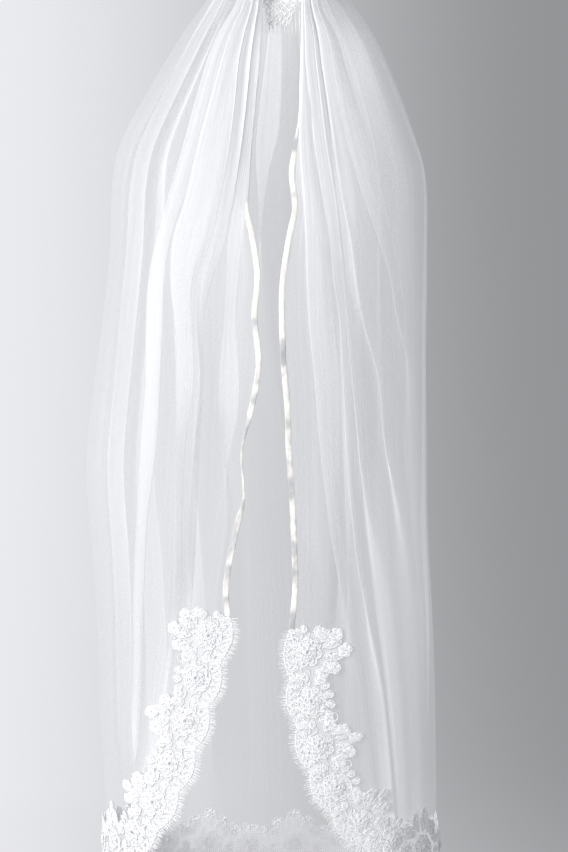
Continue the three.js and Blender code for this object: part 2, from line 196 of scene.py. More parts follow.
# %% [markdown]
# ## The fall of the cloth
# The whole veil is one surface. A "turn" goes round it, 0 at the left front edge, 1 at
# the left side, 2 at the middle of the back, 3 at the right side and 4 at the right front
# edge, and a "level" goes down it from the gathered header. Cloth simulation could find
# such a fall, but a veil's folds are set by how it is gathered and dressed by hand, so
# here each fold is laid where the real one lies, from tables with a row for each.

# %% The tables, in millimetres
LEVELS = {
    "zFront": (4.4, 24, 30, 19, -12, -60, -172, -240, -345, -485, -635, -765, -900, -1050, -1240),
    "zBack": (4.4, 34, 60, 64, 28, -50, -172, -240, -345, -485, -635, -765, -900, -1050, -1240),
    "left": (34, 42, 58, 76, 96, 142, 209, 228, 235, 249, 265, 256, 250, 246, 240),
    "right": (36, 43, 58, 75, 95, 141, 189, 208, 209, 209, 210, 212, 216, 219, 221),
    "yFront": (-3, -6, -12, -18, -26, -40, -62, -78, -98, -108, -104, -108, -111, -113, -114),
    "yMid": (0, 4, 10, 18, 26, 32, 34, 32, 30, 31, 34, 35, 36, 36, 36),
    "yBack": (3, 16, 46, 80, 106, 124, 140, 146, 152, 158, 164, 169, 174, 178, 182),
}
NECK = 5  # the level at which the pouf ends and the fall begins
LAST_LEVEL = len(LEVELS["left"]) - 1
EDGES = {
    "z": (10, -97, -157, -203, -240, -290, -325, -386, -436, -505, -574, -621, -690, -737, -805,
          -860, -1240),
    "left": (-22, -30, -33, -38, -41, -42, -34, -26, -30, -25, -38, -50, -47, -57, -69, -66, -62),
    "right": (32, 30, 28, 20, 14, 18, 11, 2, 0, 2, 8, 10, 15, 17, 19, 15, 13),
}
HEM = {"side": -1190, "back": -1212, "leftEdge": -850, "rightEdge": -867}
ROUNDNESS = 0.75  # of a section: 1 is an ellipse, and less is fuller at its corners


def smooth(places, values, at):
    """A smooth curve through values, which stand at places. It works on whole arrays."""
    places, values = np.asarray(places, float), np.asarray(values, float)
    if places[-1] < places[0]:
        places, values = places[::-1], values[::-1]
    last = len(places) - 1
    at = np.asarray(at, float)
    i = np.clip(np.searchsorted(places, at, side="right") - 1, 0, last - 1)
    ends = np.arange(last + 1)
    before, after = np.maximum(ends - 1, 0), np.minimum(ends + 1, last)
    slopes = (values[after] - values[before]) / (places[after] - places[before])
    step = places[i + 1] - places[i]
    t = np.clip((at - places[i]) / step, 0, 1)
    lift = (3 - 2 * t) * t * t
    return (
        values[i] + (values[i + 1] - values[i]) * lift
        + slopes[i] * step * t * (1 - t) ** 2
        - slopes[i + 1] * step * t * t * (1 - t)
    )


def ease(t):
    """0 to 1 along a smooth step."""
    t = np.clip(t, 0, 1)
    return t * t * (3 - 2 * t)


def level_value(name, level):
    """What a table of LEVELS gives at a level."""
    return smooth(np.arange(LAST_LEVEL + 1), LEVELS[name], level)


LEVEL_SAMPLES = np.linspace(NECK, LAST_LEVEL, 1200)  # to look a level up by its height
HEIGHT_SAMPLES = level_value("zFront", LEVEL_SAMPLES)


def level_at_height(z):
    """The level of a height below the neck."""
    return np.interp(-np.asarray(z, float), -HEIGHT_SAMPLES, LEVEL_SAMPLES)


def section(level, turn):
    """Points of the cloth without its folds."""
    level, turn = np.broadcast_arrays(np.asarray(level, float), np.asarray(turn, float))
    on_left = turn <= 2
    way = np.where(on_left, turn, 4 - turn)
    z_front = level_value("zFront", level)
    left_edge, right_edge = (smooth(EDGES["z"], EDGES[side], z_front) for side in ("left", "right"))
    edge = np.where(on_left, left_edge, right_edge)
    side = np.where(on_left, -level_value("left", level), level_value("right", level))
    angle = np.where(way <= 1, way, way - 1) * np.pi / 2
    out = np.sign(np.sin(angle)) * np.abs(np.sin(angle)) ** ROUNDNESS
    along = np.abs(np.cos(angle)) ** ROUNDNESS
    y_mid = level_value("yMid", level)
    x = np.where(way <= 1, edge + (side - edge) * out, side * along)
    y_end = np.where(way <= 1, level_value("yFront", level), level_value("yBack", level))
    y = y_mid + (y_end - y_mid) * np.where(way <= 1, along, out)
    frontness = ((1 + np.cos(way * np.pi / 2)) / 2) ** 1.1
    z_back = level_value("zBack", level)
    return np.stack([x, y, z_back + (z_front - z_back) * frontness], -1)


def unit(vectors):
    """Vectors at a length of one."""
    return vectors / np.maximum(np.linalg.norm(vectors, axis=-1, keepdims=True), 1e-9)


def directions(level, turn):
    """The way round the cloth and the way out of it, at each point."""
    round_step, down_step = 0.01, 0.02
    before, after = np.clip(turn - round_step, 0, 4), np.clip(turn + round_step, 0, 4)
    above, below = np.maximum(level - down_step, 0), np.minimum(level + down_step, LAST_LEVEL)
    ahead = unit(section(level, after) - section(level, before))
    return ahead, unit(np.cross(ahead, section(below, turn) - section(above, turn)))


# %% [markdown]
# ## The folds
# Where tulle is folded, the net lies over itself, and three layers show as a brighter
# band between two crisp creases. So a fold here isn't a plain wave: going round, the cloth
# runs on to the far crease, turns back to the near crease, and then runs on again. Each
# row of the tables is one fold of a front panel, and gives both its creases. A band is
# wide where they lie apart and closes to a thin pleat where they meet. Some run out above
# the hem. Cloth simulation could find folds, but not these folds. The back's folds are laid
# by a loop.

# %% One row for each front fold, in millimetres from the comb's middle
FOLD_HEIGHTS = (-83, -193, -276, -331, -386, -442, -524, -607, -718, -828, -966, -1190)
LEFT_FOLDS = (
    {"near": (-27, -37, -42, -49, -54, -58, -54, -52, -57, -79, -101, -153),
     "far": (-40, -50, -62, -72, -73, -76, -84, -85, -87, -97, -112, -164), "depth": 3.5, "ends": -760},
    {"near": (-46, -55, -66, -73, -91, -101, -102, -108, -114, -120, -134, -178),
     "far": (-57, -69, -84, -94, -109, -111, -107, -115, -123, -127, -141, -184), "depth": 6},
    {"near": (-59, -72, -88, -102, -119, -120, -117, -127, -133, -136, -156, -195),
     "far": (-79, -109, -128, -145, -148, -142, -139, -139, -141, -144, -164, -201), "depth": 6},
    {"near": (-81, -112, -135, -152, -160, -161, -164, -168, -181, -186, -192, -208),
     "far": (-98, -129, -153, -168, -178, -181, -182, -188, -193, -197, -200, -214), "depth": 6},
)
RIGHT_FOLDS = (
    {"near": (30, 28, 32, 35, 37, 40, 48, 55, 67, 80, 97, 128),
     "far": (38, 47, 58, 66, 71, 75, 83, 84, 83, 87, 101, 134), "depth": 6, "ends": -960},
    {"near": (36, 46, 58, 68, 74, 83, 87, 91, 100, 112, 135, 155),
     "far": (54, 76, 90, 92, 89, 91, 93, 95, 107, 122, 144, 160), "depth": 5, "ends": -990},
    {"near": (50, 63, 75, 81, 86, 91, 98, 106, 116, 135, 152, 170),
     "far": (66, 92, 105, 106, 110, 113, 113, 115, 124, 142, 157, 174), "depth": 5, "ends": -850},
    {"near": (58, 74, 86, 97, 104, 113, 134, 141, 162, 176, 186, 192),
     "far": (69, 88, 97, 101, 108, 118, 138, 145, 166, 180, 190, 196), "depth": 4, "ends": -840},
    {"near": (72, 92, 116, 134, 150, 158, 170, 175, 186, 196, 201, 206),
     "far": (91, 126, 148, 160, 171, 179, 185, 189, 196, 203, 208, 211), "depth": 6, "ends": -650},
)
FOLD_RUNS_OUT = 240.0  # mm: a fold that ends above the hem flattens over this length
BACK_FOLDS = 9
BACK_BAND = (0.0, 0.06)  # of a turn: half the band between a back fold's creases
BACK_BANDS_CLOSE = {  # levels between which a back fold's band closes into a soft wave, by its place
    2: (5.0, 11.5), 3: (6.0, 14.5), 4: (4.5, 12.5), 5: (6.5, 15.5), 6: (5.0, 12.0)}
BACK_RUN_ON = 0.045  # of a turn: where there is no band, half of what a wave's inner slope covers
BACK_SPAN = (1.02, 2.98)  # turns between which the back's folds lie
BACK_DEPTH = (4.0, 7.0)  # mm
WIDEST_SHARE = 0.985  # past it a crease would lie behind the veil's outline
TABLE_LEVELS = np.linspace(0, LAST_LEVEL, 281)
NO_END = -9999.0  # mm: for a fold that runs on to the hem


def turn_at_share(share):
    """The turn at a share of the way from the front edge to the side, which may be a little below 0."""
    share = np.asarray(share, float)
    turn = np.arcsin(np.minimum(np.abs(share), WIDEST_SHARE) ** (1 / ROUNDNESS)) * 2 / np.pi
    return np.sign(share) * turn


def crease_turns(row, side):
    """The turn of one crease at every level of the table."""
    z = np.clip(level_value("zFront", TABLE_LEVELS), FOLD_HEIGHTS[-1], FOLD_HEIGHTS[0])
    edge = smooth(EDGES["z"], EDGES[side], z)
    outline = level_value(side, level_at_height(z)) * (-1 if side == "left" else 1)
    turn = turn_at_share((smooth(FOLD_HEIGHTS, row, z) - edge) / (outline - edge))
    return turn if side == "left" else 4 - turn


def front_fold(row, side):
    """The highest and the lowest turn of a fold's band at each level, and its depth and end."""
    far, near = (crease_turns(row[crease], side) for crease in ("far", "near"))
    top, bottom = (far, near) if side == "left" else (near, far)
    return top, bottom, row["depth"], row.get("ends", NO_END)


def back_fold(i):
    """The same for a fold behind, which sways and swells slowly on its way down."""
    in_pouf = np.clip((NECK + 1 - TABLE_LEVELS) / NECK, 0, 1)
    first, last = BACK_SPAN
    middle = first + (last - first) * (i + 0.5) / BACK_FOLDS + rng.uniform(-0.03, 0.03)
    sway = 0.02 * np.sin(TABLE_LEVELS / 2.3 + rng.uniform(0, 6))
    half = rng.uniform(*BACK_BAND) * (0.55 + 0.45 * np.sin(TABLE_LEVELS / 3.1 + rng.uniform(0, 6)))
    banded = np.zeros(len(TABLE_LEVELS))
    if i in BACK_BANDS_CLOSE:
        begins, closed = BACK_BANDS_CLOSE[i]
        banded = (1 - ease((TABLE_LEVELS - begins) / (closed - begins))) * (1 - 0.7 * in_pouf)
    half = half * banded - BACK_RUN_ON * (1 - banded)
    middle = middle + sway * (1 - in_pouf)
    return middle + half, middle - half, rng.uniform(*BACK_DEPTH), NO_END


all_folds = [front_fold(row, "left") for row in LEFT_FOLDS]
all_folds += [back_fold(i) for i in range(BACK_FOLDS)]
all_folds += [front_fold(row, "right") for row in RIGHT_FOLDS[::-1]]
TOPS, BOTTOMS, DEPTHS, ENDS = (np.array(column, float).T for column in zip(*all_folds))
FOLDS = len(all_folds)
FOLD_SPAN = FOLDS + 1  # fold numbers run from 0 at the left front edge to this at the right one
at_edge = np.zeros((len(TABLE_LEVELS), 1))
MIDDLES = np.hstack([at_edge, np.sort((TOPS + BOTTOMS) / 2, axis=1), at_edge + 4])
print("folds:", FOLDS)

# %% Look a fold up in the tables
def at_level(table, level):
    """The rows of a table at levels that lie between its own."""
    place = np.asarray(level, float) / LAST_LEVEL * (len(TABLE_LEVELS) - 1)
    low = np.clip(place.astype(int), 0, len(TABLE_LEVELS) - 2)
    share = (place - low)[..., None]
    return table[low] * (1 - share) + table[low + 1] * share


def pick(rows, column):
    """One value of each row."""
    return np.take_along_axis(rows, np.clip(column, 0, rows.shape[-1] - 1)[..., None], -1)[..., 0]


def opened_turn(level, number):
    """The turn of a fold number where the folds have opened out flat."""
    level, number = np.broadcast_arrays(np.asarray(level, float), np.asarray(number, float))
    rows = at_level(MIDDLES, level)
    i = np.clip(number.astype(int), 0, FOLD_SPAN - 1)
    return pick(rows, i) + (pick(rows, i + 1) - pick(rows, i)) * (number - i)


def fold_number(level, turn):
    """The other way round: the fold number of a turn where the folds are open."""
    rows = at_level(MIDDLES, level)
    i = np.clip((turn[..., None] >= rows).sum(-1) - 1, 0, FOLD_SPAN - 1)
    a, b = pick(rows, i), pick(rows, i + 1)
    return i + np.clip((turn - a) / np.maximum(b - a, 1e-6), 0, 1)


# %% Follow the cloth round its folds
TO_CREASE = 0.25  # in fold numbers: a fold's creases lie this far before and after it
FIRST_CREASE = 1 - TO_CREASE  # in fold numbers, from either front edge
CREASE_PHASE = 0.35  # rad: how far past its crest the cloth turns back


def folded_turn(level, number):
    """The turn of a fold number as the cloth runs on, back and on again."""
    tops, bottoms = at_level(TOPS, level), at_level(BOTTOMS, level)
    place = number + TO_CREASE
    k = np.floor(place).astype(int)
    share = place - k
    back = (1 - np.cos(np.pi * np.clip(share * 2, 0, 1))) / 2
    on = (1 - np.cos(np.pi * np.clip(share * 2 - 1, 0, 1))) / 2
    top, bottom, next_top = pick(tops, k - 1), pick(bottoms, k - 1), pick(tops, k)
    turn = np.where(share < 0.5, top + (bottom - top) * back, bottom + (next_top - bottom) * on)
    first = tops[..., 0] * np.sin(np.pi / 2 * np.clip(number / FIRST_CREASE, 0, 1))
    to_end = np.clip((number - (FOLD_SPAN - FIRST_CREASE)) / FIRST_CREASE, 0, 1)
    last = 4 - (4 - bottoms[..., -1]) * np.cos(np.pi / 2 * to_end)
    turn = np.where(number < FIRST_CREASE, first, turn)
    return np.where(number > FOLD_SPAN - FIRST_CREASE, last, turn)


def fold_stand(number):
    """How far the cloth stands out of its section at a fold number, in mm."""
    place = number + TO_CREASE
    k = np.floor(place).astype(int)
    share = (place - k) * 2
    down = CREASE_PHASE + share * (np.pi - 2 * CREASE_PHASE)
    up = np.pi - CREASE_PHASE + (share - 1) * (np.pi + 2 * CREASE_PHASE)
    here = DEPTHS[np.clip(k - 1, 0, FOLDS - 1)]
    there = DEPTHS[np.clip(k, 0, FOLDS - 1)]
    depth = np.where(share < 1, here, here + (there - here) * ease(share - 1))
    from_end = np.clip(np.minimum(number, FOLD_SPAN - number) / FIRST_CREASE, 0, 1)
    return depth * np.cos(np.where(share < 1, down, up)) * np.sin(np.pi / 2 * from_end) ** 2


# %% Where the hem is
LOWEST = -1239.0  # mm: just inside the tables
STRAIGHT_ABOVE = 500.0  # mm from the hem: from here on its distance is measured straight down


def hem_height(turn):
    """The height of the hem line at a turn. It curves up to each front edge at its own rate."""
    turn = np.asarray(turn, float)
    way = np.clip(np.where(turn <= 2, turn, 4 - turn), 0, 2)
    rest = 1 - np.sin(np.minimum(way, 1) * np.pi / 2) ** ROUNDNESS
    left = HEM["leftEdge"] + (HEM["side"] - HEM["leftEdge"]) * (1 - rest**2.3)
    right = HEM["rightEdge"] + (HEM["side"] - HEM["rightEdge"]) * (1 - rest**2.5) ** 0.45
    behind = HEM["side"] + (HEM["back"] - HEM["side"]) * np.sin((way - 1) * np.pi / 2) ** 2
    return np.where(way > 1, behind, np.where(turn <= 2, left, right))


def hem_distance(z, turn):
    """About how far a point is above the hem line. Close by it is measured square to the line."""
    step = 0.004
    before, after = np.clip(turn - step, 0, 4), np.clip(turn + step, 0, 4)
    level = level_at_height(np.maximum(z, LOWEST))
    run = np.linalg.norm((section(level, after) - section(level, before))[..., :2], axis=-1)
    rise = hem_height(after) - hem_height(before)
    drop = z - hem_height(turn)
    square = run / np.maximum(np.hypot(run, rise), 1e-6)
    return drop * (square + (1 - square) * ease(drop / STRAIGHT_ABOVE))


# %% Put the section, its folds and the hem together
FOLDED_FROM_HEM = (62, 155)  # mm from the hem: flat under the lace, and above it in its folds
RAISED_FROM_HEM = (80, 220)  # mm from the hem: the folds lie closer as they come down to the lace
HEM_DEPTH_SHARE = 0.22  # what is left of a fold's depth at the hem
HEADER_DEPTH_SHARE = 0.25  # and at the header
BRIDGED = np.linspace(-0.05, 0.05, 9)  # turns to either side that the lace bridges
TUCKED = 9.0  # mm: the upper front edges turn in behind the first fold
TUCKED_ABOVE = {"left": (-300, -240), "right": (-200, -150)}  # mm: where it begins and is complete
WANDER_OUT = 2.0  # mm
WANDER_ROUND = 1.2  # mm
WANDER_BELOW = 150.0  # mm under the header, where it is complete
WAVES = rng.uniform(0, 2 * np.pi, (2, 4))


def wander(which, number, z):
    """A slow wave between about -1 and 1 that keeps the folds from being ruled lines."""
    a = WAVES[which]
    return (
        np.sin(0.9 * number + z / 95 + a[0]) + np.sin(1.7 * number - z / 150 + a[1])
        + 0.7 * np.sin(2.9 * number + z / 60 + a[2]) + 0.5 * np.sin(0.4 * number - z / 41 + a[3])
    ) / 2


def folded_and_raised(level, number, plain):
    """How far the cloth lies in its folds and how far they stand out, 0 to 1. plain is the turn."""
    z = level_value("zFront", level)
    away = hem_distance(z, plain)
    fold = np.floor(number).astype(int)
    lasting = [ease((z - ENDS[np.clip(fold + k, 0, FOLDS - 1)]) / FOLD_RUNS_OUT) for k in (-1, 0)]
    lasting = lasting[0] + (lasting[1] - lasting[0]) * ease((number - fold - TO_CREASE) / 0.5)
    return [
        np.where(level > NECK, ease((away - low) / (high - low)) * lasting, 1)
        for low, high in (FOLDED_FROM_HEM, RAISED_FROM_HEM)]


def cloth(level, number, stand=0.0, over_folds=False):
    """Points of the folded cloth, or of what lies stand mm outside it and may lie over its folds."""
    level, number = np.broadcast_arrays(np.asarray(level, float), np.asarray(number, float))
    plain = opened_turn(level, number)
    z = level_value("zFront", level)
    folded, raised = folded_and_raised(level, number, plain)
    turn = plain + (folded_turn(level, number) - plain) * (0 if over_folds else folded)
    point = section(level, turn)
    ahead, out = directions(level, turn)
    gathered = ease(level / NECK) * (1 - HEADER_DEPTH_SHARE) + HEADER_DEPTH_SHARE
    free = np.clip(-point[..., 2] / WANDER_BELOW, 0, 1)
    stands = fold_stand(number)
    if over_folds:  # it bridges the steps between folds
        beside = [fold_number(level, np.clip(plain + step, 0, 4)) for step in BRIDGED]
        stands = np.mean([fold_stand(k) for k in beside], axis=0)
    lift = stands * (HEM_DEPTH_SHARE + (1 - HEM_DEPTH_SHARE) * raised) * gathered
    for side, end in (("left", number), ("right", FOLD_SPAN - number)):
        low, high = TUCKED_ABOVE[side]
        tucked = ease((z - low) / (high - low)) * ease(level / 3)
        lift = lift - TUCKED * tucked * (1 - ease(end / 0.5))
    lift = lift + stand + WANDER_OUT * free * wander(1, number, z) * (0.4 + 0.6 * raised)
    round_way = WANDER_ROUND * free * raised * wander(0, number, z)
    return point + round_way[..., None] * ahead + lift[..., None] * out


# %% [markdown]
# ## The tulle
# Tulle is a knitted net of hexagons under 1 mm across, sheer enough to see through one
# layer and almost white in ten. Its threads are far too fine to model, so the sheet is one
# skin whose Alpha is what part of a sight line the threads stop. That depends on how
# much cloth is gathered into each spot and on how steeply a fold turns away. Both are
# measured on the mesh, and kept at each of its points as a number of layers.

# %% Lay the sheet out from the header to the hem
CLOTH_WIDTH = 1500.0  # mm, the width that tulle is sold in
COLUMNS_PER_FOLD = 22
POUF_ROWS = 46
FALL_ROWS = 142


def hem_of_fold(number):
    """The height at which the line of a fold number meets the hem."""
    z = np.full(np.shape(number), float(HEM["side"]))
    for _ in range(40):
        z = (z + hem_height(opened_turn(level_at_height(z), number))) / 2
    return z


def sheet_grid():
    """Levels and fold numbers for each row and column of the tulle."""
    numbers = np.linspace(0, FOLD_SPAN, FOLD_SPAN * COLUMNS_PER_FOLD + 1)
    pouf = np.linspace(0, NECK, POUF_ROWS, endpoint=False)
    hems = hem_of_fold(numbers)
    neck = float(level_value("zFront", NECK))
    down = np.linspace(0, 1, FALL_ROWS)[:, None]
    falls = level_at_height(neck + (hems - neck) * down)
    levels = np.vstack([np.repeat(pouf[:, None], len(numbers), 1), falls])
    return levels, np.broadcast_to(numbers, levels.shape)


def soft_piece(name, places, faces, flat, finishes=0):
    """A smooth piece from points in mm. flat says where each lies on the flat cloth, for its UV map."""
    mesh = bpy.data.meshes.new(name)
    mesh.from_pydata((np.asarray(places) * MM).tolist(), [], faces)
    corners = np.empty(len(mesh.loops), np.int32)
    mesh.loops.foreach_get("vertex_index", corners)
    layer = mesh.uv_layers.new(name="flat")
    layer.data.foreach_set("uv", (np.asarray(flat)[corners] * MM).astype(np.float32).ravel())
    finishes = np.zeros(len(faces), int) + finishes
    mesh.polygons.foreach_set("material_index", finishes.astype(np.int32))
    mesh.shade_smooth()
    return new_object(name, mesh)


levels, numbers = sheet_grid()
points = cloth(levels, numbers)
lengths = np.linalg.norm(np.diff(points, axis=0), axis=2).cumsum(axis=0)
lengths = np.vstack([np.zeros((1, points.shape[1])), lengths])
flat = np.stack([numbers / FOLD_SPAN * CLOTH_WIDTH, -lengths], -1)
down_first = grid_faces(*points.shape[:2])[:, [0, 3, 2, 1]]  # so that they face outwards
tulle = soft_piece("tulle_veil_cloth", points.reshape(-1, 3), down_first.tolist(), flat.reshape(-1, 2))
widths = np.linalg.norm(np.diff(points, axis=1), axis=2)
for row in (0, POUF_ROWS // 2, POUF_ROWS, POUF_ROWS + 40, POUF_ROWS + 90, len(points) - 1):
    print("width of the cloth at z", round(points[row, 0, 2]), "mm:", round(widths[row].sum()))
print("length of the cloth down the back, mm:", round(lengths[-1, points.shape[1] // 2]))

# %% Count the layers of net at each point
LEAST_GATHERED, MOST_GATHERED = 0.8, 14.0  # layers
GATHERED_OVER = 20  # columns to either side over which the gathering is evened out
MOST_STEEP = 3.5  # a fold's edge shows at most this many times its net
SMALL_GATHERS = {  # more net than the mesh has, in gathers too small to model, by height in mm
    "z": (60, -60, -140, -250, -400, -600, -1240),
    "front": (5.0, 5.0, 4.2, 2.2, 0.9, 0.35, 0.0),
    "back": (2.4, 2.0, 1.3, 0.6, 0.3, 0.2, 0.1),
}
TURNED_BACK = 2.4  # the turned-back layer of a fold is itself crushed into small gathers
TURNED_BACK_BEHIND = 0.5
CLOSED_BAND = 0.02  # of a turn: a fold narrower than this has no turned-back layer to see
OPENING = 0.8  # a fold that lies less than this in place has opened, and has no steep edge either


def running_mean(values, reach):
    """Each value of a row becomes the mean of those within its reach."""
    count = 2 * reach + 1
    return np.convolve(np.pad(values, reach, "edge"), np.ones(count) / count, "valid")


def small_gathers(from_edge):
    """The layers that small gathers add, in front and behind. from_edge is in turns."""
    front, back = (
        smooth(SMALL_GATHERS["z"], SMALL_GATHERS[side], points[..., 2]) for side in ("front", "back"))
    return front * (1 - ease((from_edge - 0.05) / 0.5)) + back * ease((from_edge - 1.0) / 0.8)


def turned_back(from_edge, lying):
    """The layers that the turned-back net of each fold adds, where the fold lies in place."""
    place = numbers + TO_CREASE
    fold = np.floor(place).astype(int) - 1
    band = pick(at_level(TOPS, levels), fold) - pick(at_level(BOTTOMS, levels), fold)
    turned = np.sin(np.pi * np.clip((place - np.floor(place)) * 2, 0, 1)) ** 0.5
    turned = turned * np.clip(band / CLOSED_BAND, 0, 1) * lying
    turned = turned * ease((FOLD_SPAN - numbers) / 0.5) * ease(numbers / 0.5)
    return turned * (TURNED_BACK + (TURNED_BACK_BEHIND - TURNED_BACK) * ease((from_edge - 0.85) / 0.2))


def layers_of_net():
    """The layers of flat net that a sight line square to the veil meets, and those of small gathers."""
    plain = opened_turn(levels, numbers)
    from_edge = np.minimum(plain, 4 - plain)
    lying = ease((folded_and_raised(levels, numbers, plain)[0] - OPENING) / (1 - OPENING))
    small = small_gathers(from_edge)
    flat_width = CLOTH_WIDTH / (points.shape[1] - 1)
    width = (np.pad(widths, ((0, 0), (1, 0)), "edge") + np.pad(widths, ((0, 0), (0, 1)), "edge")) / 2
    width = np.apply_along_axis(running_mean, 1, width, GATHERED_OVER)
    gathered = np.clip(flat_width / width, LEAST_GATHERED, MOST_GATHERED)
    gathered = gathered * (1 + small + turned_back(from_edge, lying))
    facing = unit(np.cross(np.gradient(points, axis=1), np.gradient(points, axis=0)))
    facing = np.abs((facing * directions(levels, plain)[1]).sum(-1))
    steepness = np.clip(1 / np.maximum(facing, 1e-3), 1, 1 + (MOST_STEEP - 1) * lying)
    return gathered * steepness**0.8, small


def keep_net(piece, layers, gathers):
    """Keeps two numbers for each point of a piece: its layers, and its share of small gathers."""
    for name, values in (("layers", layers), ("gathers", gathers)):
        attribute = piece.data.attributes.new(name, "FLOAT", "POINT")
        values = np.zeros(len(piece.data.vertices)) + np.ravel(values)
        attribute.data.foreach_set("value", values.astype(np.float32))


layers, gathers = layers_of_net()
keep_net(tulle, layers, np.clip(gathers / 2, 0, 1))
print("layers, middle and most:", round(float(np.median(layers)), 2), round(float(layers.max()), 1))

# %% [markdown]
# ## The finish of soft tulle
# Soft tulle is nylon: its threads are white and matt, and between them is air. So its
# colour hardly matters, and its Alpha does all the work. One layer stops 15% of the
# light, the next stops 15% of what is left, and so on. A flat sheet of one Alpha would
# look like smoke, so thin streaks run down it where small gathers lie, and its cells
# show a little where it is ungathered.

# %% One Alpha for any number of layers
NET_OPACITY = 0.155  # of one layer
NET_CELL = 3.0  # mm; the real cells are under 1 mm, drawn coarser so that they show
STREAK_WIDTH = 4.5  # mm of flat cloth: the small gathers between the folds
STREAK_LENGTH = 300.0  # mm


def tulle_material(name, opacity):
    """Soft nylon tulle: matt, white, sheer. The net stops more light where more of it is gathered."""
    material, tree, shader = new_material(name)
    shader.inputs["Roughness"].default_value = 0.8
    shader.inputs["Sheen Weight"].default_value = 0.25
    shader.inputs["Sheen Roughness"].default_value = 0.5
    flat = add_node(tree, "ShaderNodeUVMap", {"uv_map": "flat"}).outputs["UV"]
    per_metre = (1 / (STREAK_WIDTH * MM), 1 / (STREAK_LENGTH * MM), 1)
    streak_place = add_node(tree, "ShaderNodeMapping", Vector=flat, Scale=per_metre)
    streak = add_node(
        tree, "ShaderNodeTexNoise", {"noise_dimensions": "2D"},
        Vector=streak_place.outputs["Vector"], Scale=1.0, Detail=3.0, Roughness=0.6)
    # the streaks, deeper where there are more small gathers
    gathers = add_node(tree, "ShaderNodeAttribute", {"attribute_name": "gathers"}).outputs["Fac"]
    streak_depth = add_node(tree, "ShaderNodeMapRange", i0=gathers, i3=0.25, i4=1.1).outputs[0]
    centred = add_node(tree, "ShaderNodeMath", {"operation": "SUBTRACT"}, i0=streak.outputs[0], i1=0.5)
    streak_share = add_node(
        tree, "ShaderNodeMath", {"operation": "MULTIPLY_ADD"},
        i0=centred.outputs[0], i1=streak_depth, i2=1.0)
    # the cells of the net, lost where it is gathered
    cells = add_node(
        tree, "ShaderNodeTexVoronoi", {"voronoi_dimensions": "2D", "feature": "DISTANCE_TO_EDGE"},
        Vector=flat, Scale=1 / (NET_CELL * MM), Randomness=0.7)
    net_share = add_node(
        tree, "ShaderNodeMapRange",
        i0=cells.outputs["Distance"], i1=0.02, i2=0.3, i3=1.5, i4=0.72).outputs[0]
    net_blur = add_node(
        tree, "ShaderNodeMapRange", i0=gathers, i1=0.0, i2=0.5, i3=1.0, i4=0.1).outputs[0]
    net_off = add_node(tree, "ShaderNodeMath", {"operation": "SUBTRACT"}, i0=net_share, i1=1.0)
    net_seen = add_node(
        tree, "ShaderNodeMath", {"operation": "MULTIPLY_ADD"},
        i0=net_off.outputs[0], i1=net_blur, i2=1.0)
    # what so many layers stop: 1 - (1 - opacity) ** layers
    layers_here = add_node(tree, "ShaderNodeAttribute", {"attribute_name": "layers"}).outputs["Fac"]
    streaked = add_node(
        tree, "ShaderNodeMath", {"operation": "MULTIPLY"}, i0=layers_here, i1=streak_share.outputs[0])
    net_here = add_node(
        tree, "ShaderNodeMath", {"operation": "MULTIPLY"},
        i0=streaked.outputs[0], i1=net_seen.outputs[0])
    clear = add_node(
        tree, "ShaderNodeMath", {"operation": "POWER"}, i0=1 - opacity, i1=net_here.outputs[0])
    stopped = add_node(
        tree, "ShaderNodeMath", {"operation": "SUBTRACT"}, i0=1.0, i1=clear.outputs[0])
    tree.links.new(stopped.outputs[0], shader.inputs["Alpha"])
    tone = add_node(
        tree, "ShaderNodeMix", {"data_type": "RGBA"},
        i0=streak.outputs[0], i6=linear("#F1F2F5"), i7=linear("#FAFAFB"))
    tree.links.new(tone.outputs[2], shader.inputs["Base Color"])
    bump = add_node(
        tree, "ShaderNodeBump", Strength=0.35, Distance=1.5 * MM, Height=streak.outputs[0])
    tree.links.new(bump.outputs["Normal"], shader.inputs["Normal"])
    return material


soft_tulle = tulle_material("soft nylon tulle", NET_OPACITY)
for n in (1, 3, 10):
    print("layers:", n, "stop of the light:", round(1 - (1 - NET_OPACITY) ** n, 2))
tulle.data.materials.append(soft_tulle)
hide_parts("tulle_veil")
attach(tulle, "root")

# %% [markdown]
# ## The satin ribbon
# A raw edge of tulle curls and frays, so a satin ribbon is folded over each front edge
# and stitched through, about 8 mm on each side. Extruding a flat rectangle would leave it
# lying like tape. A real one puckers between its stitches and leans this way and that as
# it hangs, and its shine shows every pucker. So a small closed loop that wraps the edge is
# swept down the edge's own line, and is swollen, pinched and turned on its way.

# %% Follow each front edge
RIBBON_STEP = 1.5  # mm
RIBBON_FOOT = {"left": -848.0, "right": -866.0}  # mm: just under the edge of the lace


def ribbon_line(number, inward, foot):
    """The edge's line at even steps, with the way into the panel and the way out of it."""
    down_levels = np.linspace(1.0, float(level_at_height(foot)), 2400)
    edge = cloth(down_levels, number)
    beside = cloth(down_levels, number + inward * 0.12)
    run = np.concatenate([[0], np.linalg.norm(np.diff(edge, axis=0), axis=1).cumsum()])
    steps = np.arange(0, run[-1], RIBBON_STEP)
    line, inner = (
        np.stack([np.interp(steps, run, p[:, k]) for k in range(3)], -1) for p in (edge, beside))
    ahead = unit(np.gradient(line, axis=0))
    across = np.apply_along_axis(running_mean, 0, unit(inner - line), 10)
    across = unit(across - (across * ahead).sum(-1, keepdims=True) * ahead)
    return steps, line, across, unit(np.cross(ahead, across)) * -inward


